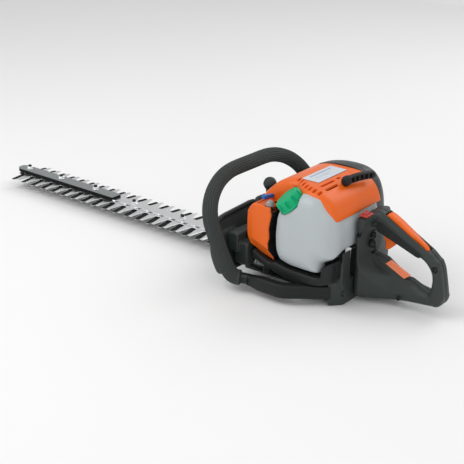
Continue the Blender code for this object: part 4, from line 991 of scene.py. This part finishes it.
def build_blade(name, node, body, shift, looks, low, high):
    """A curve round each edge and slot, filled and given a ground chamfer on both faces."""
    curve = bpy.data.curves.new(name, "CURVE")
    curve.dimensions = "2D"
    curve.fill_mode = "BOTH"
    thick = high[2] - low[2]
    right = [(x, y) for x, y in teeth_outline(shift) if low[0] + 1.0 < x]
    ring = high[0] - RING_REACH
    tail = [(ring - RING_REACH - 2.0, ROOT_Y), (ring - RING_REACH + 8.0, RING_HALF),
            (high[0] - 8.0, RING_HALF), (high[0], RING_HALF - 8.0)]
    outline = [(low[0], 10.0), (low[0] + 3.0, 13.0)] + right + tail
    outline += [(x, -y) for x, y in reversed(outline)]
    holes = [(x + shift - STROKE_HALF, STROKE_HALF + 0.5, 3.6) for x in stud_places()]
    holes.append((ring, RING_REACH - RING_HALF, RING_HALF - RING_WALL))
    loops = [outline]
    for middle, reach, half in holes:
        loops.append([(middle + s * reach + half * cos(t), half * sin(t))
                      for s, a in ((1, -pi / 2), (-1, pi / 2)) for t in np.linspace(a, a + pi, 25)][::-1])
    for loop in loops:
        spline = curve.splines.new("POLY")
        spline.points.add(len(loop) - 1)
        for point, (x, y) in zip(spline.points, loop):
            point.co = (x * MM + DATUM, y * MM, 0.0, 1.0)
        spline.use_cyclic_u = True
    curve.extrude = 0.5 * MM
    curve.bevel_depth = mm("chamfer") * MM
    curve.bevel_resolution = 0
    curve.offset = -mm("chamfer") * MM
    shape = bpy.data.objects.new(name + "_edge", curve)
    bpy.context.scene.collection.objects.link(shape)
    graph = bpy.context.evaluated_depsgraph_get()
    mesh = bpy.data.meshes.new_from_object(shape.evaluated_get(graph))
    bpy.data.objects.remove(shape)
    points = np.empty(len(mesh.vertices) * 3)
    mesh.vertices.foreach_get("co", points)
    points = points.reshape(-1, 3)
    top = np.abs(points[:, 2]).max()
    share = points[:, 2] / top
    share = np.where(np.abs(share) < 0.9, np.sign(share) * EDGE_SHARE, share)
    points[:, 2] = (share * thick / 2.0 + (low[2] + high[2]) / 2.0) * MM
    mesh.vertices.foreach_set("co", points.ravel())
    mesh.update()
    settle(name, mesh, [LOOKS[look] for look in looks], body, [node])
    mesh.shade_flat()
    normal = np.empty(len(mesh.polygons) * 3)
    mesh.polygons.foreach_get("normal", normal)
    ground = (np.abs(normal.reshape(-1, 3)[:, 2]) < 0.9).astype(np.int32)
    mesh.polygons.foreach_set("material_index", ground)


def build_bar():
    """The cover strip: a nose-rounded outline stacked in levels, near-black walls below as painted shade
    and grey above.
    """
    low, high = edges("bar_cover")
    outline = rounded([(low[0], -6.0), (low[0] + 9.0, -(high[1])), (high[0], -high[1]), (high[0], high[1]),
                       (low[0] + 9.0, high[1]), (low[0], 6.0)], 4.0)

    def strip(bottom, top, inset, name, look, replaced):
        ring = np.array(outline)
        levels = [(bottom, inset + 0.5), (bottom + 0.4, inset), (top - 0.6, inset),
                  (top - 0.15, inset + 0.3), (top, inset + 0.9)]
        rows = []
        for z, pull in levels:
            scale = 1.0 - pull / np.maximum(np.abs(ring[:, 1]), 6.0)
            rows.append(np.stack([np.clip(ring[:, 0], low[0] + pull, high[0] - pull),
                                  ring[:, 1] * scale, np.full(len(ring), z)], -1))
        surface(name, *capped(np.array(rows)), LOOKS[look], "machine", "grey_bar", replaced, sharp=30)
    # The near-black walls under the grey strip are painted shade.
    strip(low[2] - 3.2, high[2] - 1.4, 0.0, "bar_shade_wall", "painted_shade_dark", [])
    strip(high[2] - 1.4, high[2], 0.3, "bar_strip", "grey_coat", ["bar_cover"])


def capped(rows):
    """Rings stacked into a tube, closed with one many-sided face at each end."""
    count, around, _ = rows.shape
    faces = grid_faces(count, around)
    faces.append(list(range(around))[::-1])
    faces.append(list(range((count - 1) * around, count * around)))
    return rows.reshape(-1, 3), faces


def nut_on_stud(x, y, z, across, height, stud, stud_top):
    """A flanged hexagon nut with its stud standing proud."""
    half = across / 2.0
    nut = [(half + 1.4, 0.0), (half + 1.4, 0.9), (half, 1.3), (half, height - 0.8), (half * 0.90, height),
           (half * 0.6, height)]

    def shape(angle, h):
        body = (np.arange(len(nut)) >= 2)[:, None] & (np.arange(len(nut)) < 5)[:, None]
        return np.where(body, hexagon(angle, h), 1.0)
    post = [(stud, height - 0.6), (stud, stud_top - 0.8), (stud - 0.7, stud_top), (stud * 0.3, stud_top)]
    return lathe(nut, (x, y, z), around=48, shape=shape), lathe(post, (x, y, z), around=24)


# Case, brackets and small hardware ----------------------------------------------------------

CASE_TOP = 56.0


def case_field(low, high):
    """A cast box with rounded top edges, lower and narrower at its nose, ribs across its top and a lug
    each side for the springs. The blades leave through a mouth in the nose."""
    def field(x, y, z):
        fall = 9.0 * ramp(-x, -(low[0] + 34.0), -(low[0] + 4.0))
        half = 49.4 - 6.0 * ramp(-x, -(low[0] + 30.0), -low[0])
        plan = smooth_max(slab(x, low[0], high[0]), np.abs(y) - half, 9.0)
        body = smooth_max(plan, np.maximum(z - CASE_TOP + 1.4 + fall, low[2] - z), 7.0)
        reach = smooth_max(z - CASE_TOP + fall, plan + 6.0, 2.0)
        ribs = smooth_max(np.abs(np.abs(y) - 24.0) - 1.8, reach, 1.0)
        lugs = block(x, np.abs(y), z, (44.0, 46.0, 28.0), (58.0, 100.0, 50.0), 3.0)
        body = smooth_min(smooth_min(body, np.maximum(ribs, 40.0 - z), 1.5), lugs, 3.0)
        inner = np.maximum(plan + 5.0, np.maximum(z - CASE_TOP + 6.0 + fall, low[2] - 9.0 - z))
        mouth = np.maximum(np.maximum(slab(x, low[0] - 9.0, low[0] + 10.0), np.abs(y) - 19.0),
                           slab(z, 16.0, 31.5))
        return smooth_max(smooth_max(body, -inner, 1.0), -mouth, 1.0)
    return field


def build_case():
    """The gear case and the screws in its top."""
    low, high = edges("gear_housing")
    surface("case_shell", *moulded(case_field(low, high), low, high, 1.6), LOOKS["black"], "machine",
            "black", ["gear_housing"])
    heads = [screw_head((x, y * side, CASE_TOP - 1.0), (0.0, 0.0, 1.0), 4.2)
             for side in (-1, 1) for x, y in ((-8.0, 40.0), (40.0, 42.0))]
    surface("case_screws", *gather(heads), LOOKS["zinc"], "machine", "steel", sharp=35)


def build_studs():
    """Each stud is lathed: a head under the blades, a shank, a flanged hexagon nut and a dark post."""
    for number, x in enumerate(stud_places(), 1):
        low, high = edges(f"blade_stud_{number}")
        short = number > 3
        base = 29.7 if short else 35.0
        nut, post = nut_on_stud(x, 0.0, base, 11.5, min(high[2] - 3.6, base + 6.4) - base, 3.6,
                                high[2] - base)
        head = lathe([(7.4, low[2] + 3.0), (8.0, low[2] + 2.2), (7.4, low[2] + 0.6), (6.0, low[2])][::-1],
                     (x, 0.0, 0.0), around=36)
        shank = lathe([(3.2, low[2] + 2.0), (3.2, base + 1.0)], (x, 0.0, 0.0), around=24)
        surface(f"stud_head_{number}", *gather([head, shank]), LOOKS["zinc"], "machine", "steel",
                [f"blade_stud_{number}"], sharp=35)
        surface(f"stud_nut_{number}", *nut, LOOKS["steel"], "machine", "steel", sharp=35)
        surface(f"stud_post_{number}", *post, LOOKS["black"], "machine", "steel", sharp=35)


def coil(start, end, radius, wire_radius, turns, closed_ends=0.16):
    """A wire carried along a helix between two points, its end turns closed up."""
    start, end = np.asarray(start, float), np.asarray(end, float)
    axis = (end - start) / np.linalg.norm(end - start)
    side = np.cross(axis, (0.0, 0.0, 1.0) if abs(axis[2]) < 0.8 else (1.0, 0.0, 0.0))
    side /= np.linalg.norm(side)
    other = np.cross(axis, side)
    t = np.linspace(0.0, 1.0, int(turns * 36))[:, None]
    rise = np.interp(t, (0.0, closed_ends, 1.0 - closed_ends, 1.0), (0.0, 0.07, 0.93, 1.0))
    path = (start + (end - start) * rise + side * np.cos(tau * turns * t) * radius
            + other * np.sin(tau * turns * t) * radius)
    return closed_grid(carried(path, ring_section(wire_radius, around=12), tuple(axis)))


def build_mounts():
    """A coil with its seat each side, and a rubber buffer whose radius dips five times along it."""
    for name in ("left", "right"):
        node = f"av_spring_{name}"
        low, high = edges(node)
        middle = (low + high) / 2.0
        radius = (high[2] - low[2]) / 2.0 - 2.1
        parts = [coil((low[0] + 2.0, middle[1], middle[2]), (high[0] - 2.0, middle[1], middle[2]), radius,
                      2.0, 5.5),
                 lathe([(radius - 1.2, 0.0), (radius - 0.6, 1.0), (radius - 0.6, 6.0), (radius - 1.8, 7.0)],
                       (low[0] + 0.4, middle[1], middle[2]), (1.0, 0.0, 0.0), 32)]
        surface(f"spring_coil_{name}", *gather(parts), LOOKS["zinc"], "machine", "black", [node], sharp=50)
        node = f"rear_buffer_{name}"
        low, high = edges(node)
        middle = (low + high) / 2.0
        length = high[0] - low[0]
        t = np.linspace(0.0, 1.0, 61)
        radius = 9.6 - 1.8 * (0.5 - 0.5 * np.cos(tau * t * 5.0)) * ramp(t, 0.10, 0.2) * ramp(-t, -0.9, -0.8)
        profile = np.stack([radius, t * (length - 0.8) + 0.4], -1)
        surface(f"buffer_{name}", *lathe(profile, (low[0], middle[1], middle[2]), (1.0, 0.0, 0.0), 40),
                LOOKS["soft_rubber"], "machine", "rubber", [node])


def build_brackets():
    """The carrier that holds the handle's spindle, and the beam behind the guard with its fins."""
    node = "rear_bracket"
    low, high = edges(node)

    def rear(x, y, z):
        plan = polygon(x, y, [(low[0] + 0.1, -86.0), (high[0] - 0.2, -66.0), (high[0] - 0.2, 66.0),
                              (low[0] + 0.1, 86.0)])
        foot = smooth_max(plan, slab(z, 0.2, 43.6), 4.0)
        post = block(x, y, z, (low[0] + 0.1, -22.0, 2.0), (high[0] - 0.2, 22.0, 84.0), 3.0)
        side = polygon(x, z, [(168.6, 36.0), (187.2, 36.0), (187.2, 95.6), (185.4, 95.6), (185.4, 82.0),
                              (176.0, 67.0), (168.6, 59.0)])
        arms = smooth_max(side, slab(np.abs(y), 48.4, 73.6), 2.4)
        bore = np.sqrt(y * y + (z - 62.0) ** 2) - 9.4
        solid = smooth_min(smooth_min(foot, post, 4.0), arms, 3.0)
        for px in (-66.0, 66.0):
            head = np.maximum(np.sqrt((y - px) ** 2 + (z - 22.0) ** 2) - 6.0, high[0] - 4.0 - x)
            solid = smooth_max(solid, -head, 1.0)
        return np.maximum(solid, -bore)
    surface("rear_carrier", *moulded(rear, (low[0], low[1], 0.0), (high[0], high[1], high[2]), 1.5),
            LOOKS["charcoal"], "machine", "charcoal", [node])
    node = "front_bracket"
    low, high = edges(node)

    def front(x, y, z):
        side = np.abs(y)
        beam = block(x, y, z, (-21.8, -115.8, 60.2), (2.0, 115.8, high[2] - 0.2), 4.0)
        beam = beam - 1.3 * ramp(np.cos(tau * y / 19.0), 0.88, 0.96) * ramp(side, 52.0, 56.0)
        arms = block(x, side, z, (-10.8, 62.2, 38.2), (17.8, 109.8, high[2] - 16.4), 3.0)
        return smooth_min(beam + 1.4, arms, 3.0)
    surface("front_beam", *moulded(front, low, high, 1.5), LOOKS["charcoal"], "machine", "charcoal", [node])


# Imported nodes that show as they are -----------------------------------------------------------

NODE_LOOKS = {
    "gear_cover": "black", "guide_bar": "edge_steel", "drive_gear": "steel", "eccentric_lower": "steel",
    "eccentric_upper": "steel", "clutch_drum": "steel", "clutch_shoe_left": "cast",
    "clutch_shoe_right": "cast", "crankcase": "cast", "cylinder": "cast", "crankshaft": "steel",
    "flywheel": "cast", "piston": "cast", "muffler": "zinc", "carburettor": "cast", "air_filter": "paper",
    "spark_plug": "ceramic", "plug_cap": "soft_rubber", "starter_pulley": "black",
    "swivel_spindle": "steel", "swivel_lock": "lever_orange",
}


def dress_nodes():
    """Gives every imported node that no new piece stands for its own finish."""
    for name, look in NODE_LOOKS.items():
        mesh = frame["nodes"][name].data
        mesh.materials.clear()
        mesh.materials.append(LOOKS[look])


# Settings -----------------------------------------------------------------------------------

def length(name, description, value):
    """A length setting, given in millimetres."""
    return FloatProperty(name=name, description=description, default=value * MM, min=0.1 * MM,
                         precision=4, subtype="DISTANCE", unit="LENGTH")


def colour(name, description, value):
    """A colour setting."""
    return FloatVectorProperty(name=name, description=description, default=value, size=3, min=0.0,
                               max=1.0, subtype="COLOR")


class TRIMMER_PG_sizes(bpy.types.PropertyGroup):
    """Sizes that a user may change"""
    tooth_pitch: length("Tooth pitch", "Distance from one blade tooth to the next", 31.0)
    tooth_reach: length("Tooth reach", "From the middle of the blade to a tooth's tip", 48.0)
    chamfer: length("Ground edge", "Width of the ground edge round each blade", 2.2)
    loop_half: length("Loop half width", "From the middle to a leg of the front loop", 144.0)
    loop_top: length("Loop height", "Height of the middle of the loop's top bar", 181.0)
    tube_radius: length("Loop tube radius", "Radius of the bare tube of the front loop", 9.6)
    sleeve_radius: length("Sleeve radius", "Outer radius of the rubber sleeve", 13.5)
    flare_half: length("Housing half width", "Half width of the rear handle's front housing", 44.0)
    teeth: IntProperty(name="Teeth", description="Teeth along each side of a blade", default=21, min=1)
    sleeve_ribs: IntProperty(name="Sleeve ribs", description="Ribs round the rubber sleeve", default=20,
                             min=0)
    cap_notches: IntProperty(name="Cap notches", description="Finger notches round the fuel cap",
                             default=10, min=2)


class TRIMMER_PG_colours(bpy.types.PropertyGroup):
    """Colours of the finishes"""
    charcoal: colour("Charcoal plastic", "Handle, guard and side cover", (0.030, 0.039, 0.037))
    rubber: colour("Rubber", "Sleeve round the front loop", (0.026, 0.033, 0.031))
    black: colour("Black plastic", "Case, rails and tray", (0.009, 0.011, 0.011))
    orange: colour("Orange plastic", "Top cover, filter cover and levers", (0.82, 0.135, 0.010))
    tank: colour("Tank", "Milky plastic of the fuel tank", (0.47, 0.51, 0.525))
    cap: colour("Fuel cap", "Green of the fuel cap", (0.0, 0.40, 0.165))
    choke: colour("Choke lever", "Blue of the choke lever", (0.012, 0.13, 0.46))
    switch: colour("Stop switch", "Red of the stop switch", (0.40, 0.03, 0.02))
    bar: colour("Guide bar", "Grey paint on the guide bar", (0.22, 0.24, 0.24))


class TRIMMER_PG_stage(bpy.types.PropertyGroup):
    """Floor, lights and camera"""
    floor: colour("Floor", "Plain pale floor and backdrop", (0.90, 0.90, 0.90))
    key: FloatProperty(name="Main light", description="Power of the large light above the left side",
                       default=26.0, min=0.0, unit="POWER")
    fill: FloatProperty(name="Fill light", description="Power of the light near the camera",
                        default=7.0, min=0.0, unit="POWER")
    world: FloatProperty(name="World light", description="Strength of the even light all round",
                         default=0.62, min=0.0)
    lens: FloatProperty(name="Lens", description="Focal length on a 36 mm sensor", default=77.43,
                        min=10.0, unit="CAMERA")
    camera: FloatVectorProperty(name="Camera", description="Where the camera stands",
                                default=(1.16845, -1.334, 0.752), size=3, subtype="TRANSLATION",
                                unit="LENGTH")
    azimuth: FloatProperty(name="Camera azimuth", description="Turn of the camera about the vertical",
                           default=radians(39.2), subtype="ANGLE", unit="ROTATION")
    elevation: FloatProperty(name="Camera elevation", description="How far the camera looks down",
                             default=radians(22.63), subtype="ANGLE", unit="ROTATION")


def build_stage():
    """A pale floor that bends up behind, soft lights and the camera."""
    scene = bpy.context.scene
    stage = scene.trimmer_stage
    x = np.linspace(-6.0, 6.0, 25)
    t = np.linspace(0.0, 1.0, 60)
    run = np.clip(t * 9.0 - 5.0, -5.0, 4.0)
    height = np.where(run > 2.6, (run - 2.6) ** 2 * 1.6, 0.0)
    grid = np.zeros((len(t), len(x), 3))
    grid[..., 0], grid[..., 1], grid[..., 2] = x[None], run[:, None], height[:, None]
    mesh = bpy.data.meshes.new("floor")
    mesh.from_pydata(grid.reshape(-1, 3).tolist(), [], grid_faces(len(t), len(x), across=False))
    mesh.flip_normals()
    floor = bpy.data.objects.new("floor", mesh)
    scene.collection.objects.link(floor)
    mesh.materials.append(finish("floor_paint", stage.floor, 0.85, grain=4.0, height=0.01, tone=0.01,
                                 patch=900.0))
    for name, place, power, size in (("key", (-0.9, -1.3, 2.1), stage.key, 1.8),
                                     ("fill", (1.9, -1.2, 1.1), stage.fill, 1.6),
                                     ("back", (0.6, 1.8, 1.8), stage.key * 0.55, 1.6)):
        light = bpy.data.lights.new(name, "AREA")
        light.energy = power
        light.size = size
        lamp = bpy.data.objects.new(name, light)
        aim = np.array((0.15, 0.0, 0.08)) - np.array(place)
        lamp.matrix_world = Matrix.Translation(place) @ looking(aim).to_4x4()
        scene.collection.objects.link(lamp)
    world = bpy.data.worlds.new("studio")
    world.use_nodes = True
    world.node_tree.nodes["Background"].inputs["Color"].default_value = (1.0, 1.0, 1.0, 1.0)
    world.node_tree.nodes["Background"].inputs["Strength"].default_value = stage.world
    scene.world = world
    scene.view_settings.view_transform = "Standard"
    camera = bpy.data.cameras.new("camera")
    camera.lens = stage.lens
    camera.sensor_width = 36.0
    camera.dof.use_dof = False
    eye = bpy.data.objects.new("camera", camera)
    a, e = stage.azimuth, stage.elevation
    view = Matrix(((cos(a), -sin(a) * sin(e), sin(a) * cos(e), 0.0),
                   (sin(a), cos(a) * sin(e), -cos(a) * cos(e), 0.0),
                   (0.0, cos(e), sin(e), 0.0), (0.0, 0.0, 0.0, 1.0)))
    eye.matrix_world = Matrix.Translation(stage.camera) @ view
    scene.collection.objects.link(eye)
    scene.camera = eye


def looking(aim):
    """The turn that points an object's -Z along a direction."""
    back = -np.asarray(aim, float) / np.linalg.norm(aim)
    side = np.cross((0.0, 0.0, 1.0), back)
    side /= np.linalg.norm(side)
    up = np.cross(back, side)
    return Matrix([[side[k], up[k], back[k]] for k in range(3)])


# Operators ----------------------------------------------------------------------------------

class TRIMMER_OT_finishes(bpy.types.Operator):
    """Mixes every finish of the machine"""
    bl_idname = "trimmer.finishes"
    bl_label = "Finishes"

    def execute(self, context):
        mix_finishes(context.scene.trimmer_colours)
        return {"FINISHED"}


class TRIMMER_OT_rear_handle(bpy.types.Operator):
    """Builds the shells of the rear handle, its pads, screws, plate and cable"""
    bl_idname = "trimmer.rear_handle"
    bl_label = "Rear handle"

    def execute(self, context):
        build_rear_handle()
        return {"FINISHED"}


class TRIMMER_OT_controls(bpy.types.Operator):
    """Builds the throttle lock, the trigger and the stop switch"""
    bl_idname = "trimmer.controls"
    bl_label = "Hand controls"

    def execute(self, context):
        build_controls()
        return {"FINISHED"}


class TRIMMER_OT_body(bpy.types.Operator):
    """Builds the fuel tank, top shroud, side dome, filter lid and engine tray"""
    bl_idname = "trimmer.body"
    bl_label = "Tank and covers"

    def execute(self, context):
        build_body()
        return {"FINISHED"}


class TRIMMER_OT_label(bpy.types.Operator):
    """Builds the blank plate on the top shroud"""
    bl_idname = "trimmer.label"
    bl_label = "Top label"

    def execute(self, context):
        build_label()
        return {"FINISHED"}


class TRIMMER_OT_cap(bpy.types.Operator):
    """Builds the notched fuel cap and the ring of its neck"""
    bl_idname = "trimmer.cap"
    bl_label = "Fuel cap"

    def execute(self, context):
        build_cap()
        return {"FINISHED"}


class TRIMMER_OT_small_controls(bpy.types.Operator):
    """Builds the choke tab, the primer dome and the plug boot"""
    bl_idname = "trimmer.small_controls"
    bl_label = "Choke, primer and plug boot"

    def execute(self, context):
        build_small_controls()
        return {"FINISHED"}


class TRIMMER_OT_starter(bpy.types.Operator):
    """Builds the starter grip with its windows"""
    bl_idname = "trimmer.starter"
    bl_label = "Starter grip"

    def execute(self, context):
        build_starter()
        return {"FINISHED"}


class TRIMMER_OT_loop(bpy.types.Operator):
    """Builds the front loop's tube and its ribbed sleeve"""
    bl_idname = "trimmer.loop"
    bl_label = "Front loop"

    def execute(self, context):
        build_loop()
        return {"FINISHED"}


class TRIMMER_OT_rails(bpy.types.Operator):
    """Builds the rail on each side of the engine"""
    bl_idname = "trimmer.rails"
    bl_label = "Side rails"

    def execute(self, context):
        build_rails()
        return {"FINISHED"}


class TRIMMER_OT_guard(bpy.types.Operator):
    """Builds the guard in front of the loop"""
    bl_idname = "trimmer.guard"
    bl_label = "Hand guard"

    def execute(self, context):
        build_guard()
        return {"FINISHED"}


class TRIMMER_OT_blades(bpy.types.Operator):
    """Builds the two toothed blades with their ground edges"""
    bl_idname = "trimmer.blades"
    bl_label = "Blades"

    def execute(self, context):
        build_blades()
        return {"FINISHED"}


class TRIMMER_OT_bar(bpy.types.Operator):
    """Builds the cover strip over the front of the blades"""
    bl_idname = "trimmer.bar"
    bl_label = "Guide bar"

    def execute(self, context):
        build_bar()
        return {"FINISHED"}


class TRIMMER_OT_case(bpy.types.Operator):
    """Builds the gear case and its screws"""
    bl_idname = "trimmer.case"
    bl_label = "Gear case"

    def execute(self, context):
        build_case()
        return {"FINISHED"}


class TRIMMER_OT_studs(bpy.types.Operator):
    """Builds the studs and nuts that hold the blades together"""
    bl_idname = "trimmer.studs"
    bl_label = "Blade studs"

    def execute(self, context):
        build_studs()
        return {"FINISHED"}


class TRIMMER_OT_mounts(bpy.types.Operator):
    """Builds the springs and the rubber buffers that carry the engine"""
    bl_idname = "trimmer.mounts"
    bl_label = "Springs and buffers"

    def execute(self, context):
        build_mounts()
        return {"FINISHED"}


class TRIMMER_OT_brackets(bpy.types.Operator):
    """Builds the rear carrier and the beam behind the guard"""
    bl_idname = "trimmer.brackets"
    bl_label = "Brackets"

    def execute(self, context):
        build_brackets()
        return {"FINISHED"}


class TRIMMER_OT_nodes(bpy.types.Operator):
    """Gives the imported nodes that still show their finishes"""
    bl_idname = "trimmer.nodes"
    bl_label = "Packed nodes"

    def execute(self, context):
        dress_nodes()
        return {"FINISHED"}


class TRIMMER_OT_stage(bpy.types.Operator):
    """Builds the floor, lights and camera"""
    bl_idname = "trimmer.stage"
    bl_label = "Stage"

    def execute(self, context):
        build_stage()
        return {"FINISHED"}


OPERATORS = (
    TRIMMER_OT_finishes, TRIMMER_OT_rear_handle, TRIMMER_OT_controls, TRIMMER_OT_body,
    TRIMMER_OT_label, TRIMMER_OT_cap, TRIMMER_OT_small_controls, TRIMMER_OT_starter,
    TRIMMER_OT_loop, TRIMMER_OT_rails, TRIMMER_OT_guard, TRIMMER_OT_blades, TRIMMER_OT_bar,
    TRIMMER_OT_case, TRIMMER_OT_studs, TRIMMER_OT_mounts, TRIMMER_OT_brackets, TRIMMER_OT_nodes,
    TRIMMER_OT_stage,
)


class TRIMMER_PT_panel(bpy.types.Panel):
    """Lists the settings and the operators"""
    bl_label = "Hedge trimmer"
    bl_space_type = "VIEW_3D"
    bl_region_type = "UI"
    bl_category = "Trimmer"

    def draw(self, context):
        scene = context.scene
        for group in (scene.trimmer_sizes, scene.trimmer_colours, scene.trimmer_stage):
            box = self.layout.box()
            for key in type(group).__annotations__:
                box.prop(group, key)
        for operator in OPERATORS:
            self.layout.operator(operator.bl_idname)


SETTINGS = {"trimmer_sizes": TRIMMER_PG_sizes, "trimmer_colours": TRIMMER_PG_colours,
            "trimmer_stage": TRIMMER_PG_stage}


def register():
    """Registers the settings, the operators and the panel."""
    for item in (*SETTINGS.values(), *OPERATORS, TRIMMER_PT_panel):
        bpy.utils.register_class(item)
    for name, group in SETTINGS.items():
        setattr(bpy.types.Scene, name, PointerProperty(type=group))


def unregister():
    """Takes away what register added."""
    for name in SETTINGS:
        delattr(bpy.types.Scene, name)
    for item in reversed((*SETTINGS.values(), *OPERATORS, TRIMMER_PT_panel)):
        bpy.utils.unregister_class(item)


def main():
    """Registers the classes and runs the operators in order."""
    register()
    for operator in OPERATORS:
        getattr(bpy.ops.trimmer, operator.bl_idname.split(".")[1])()
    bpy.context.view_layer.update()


if __name__ == "__main__":
    main()
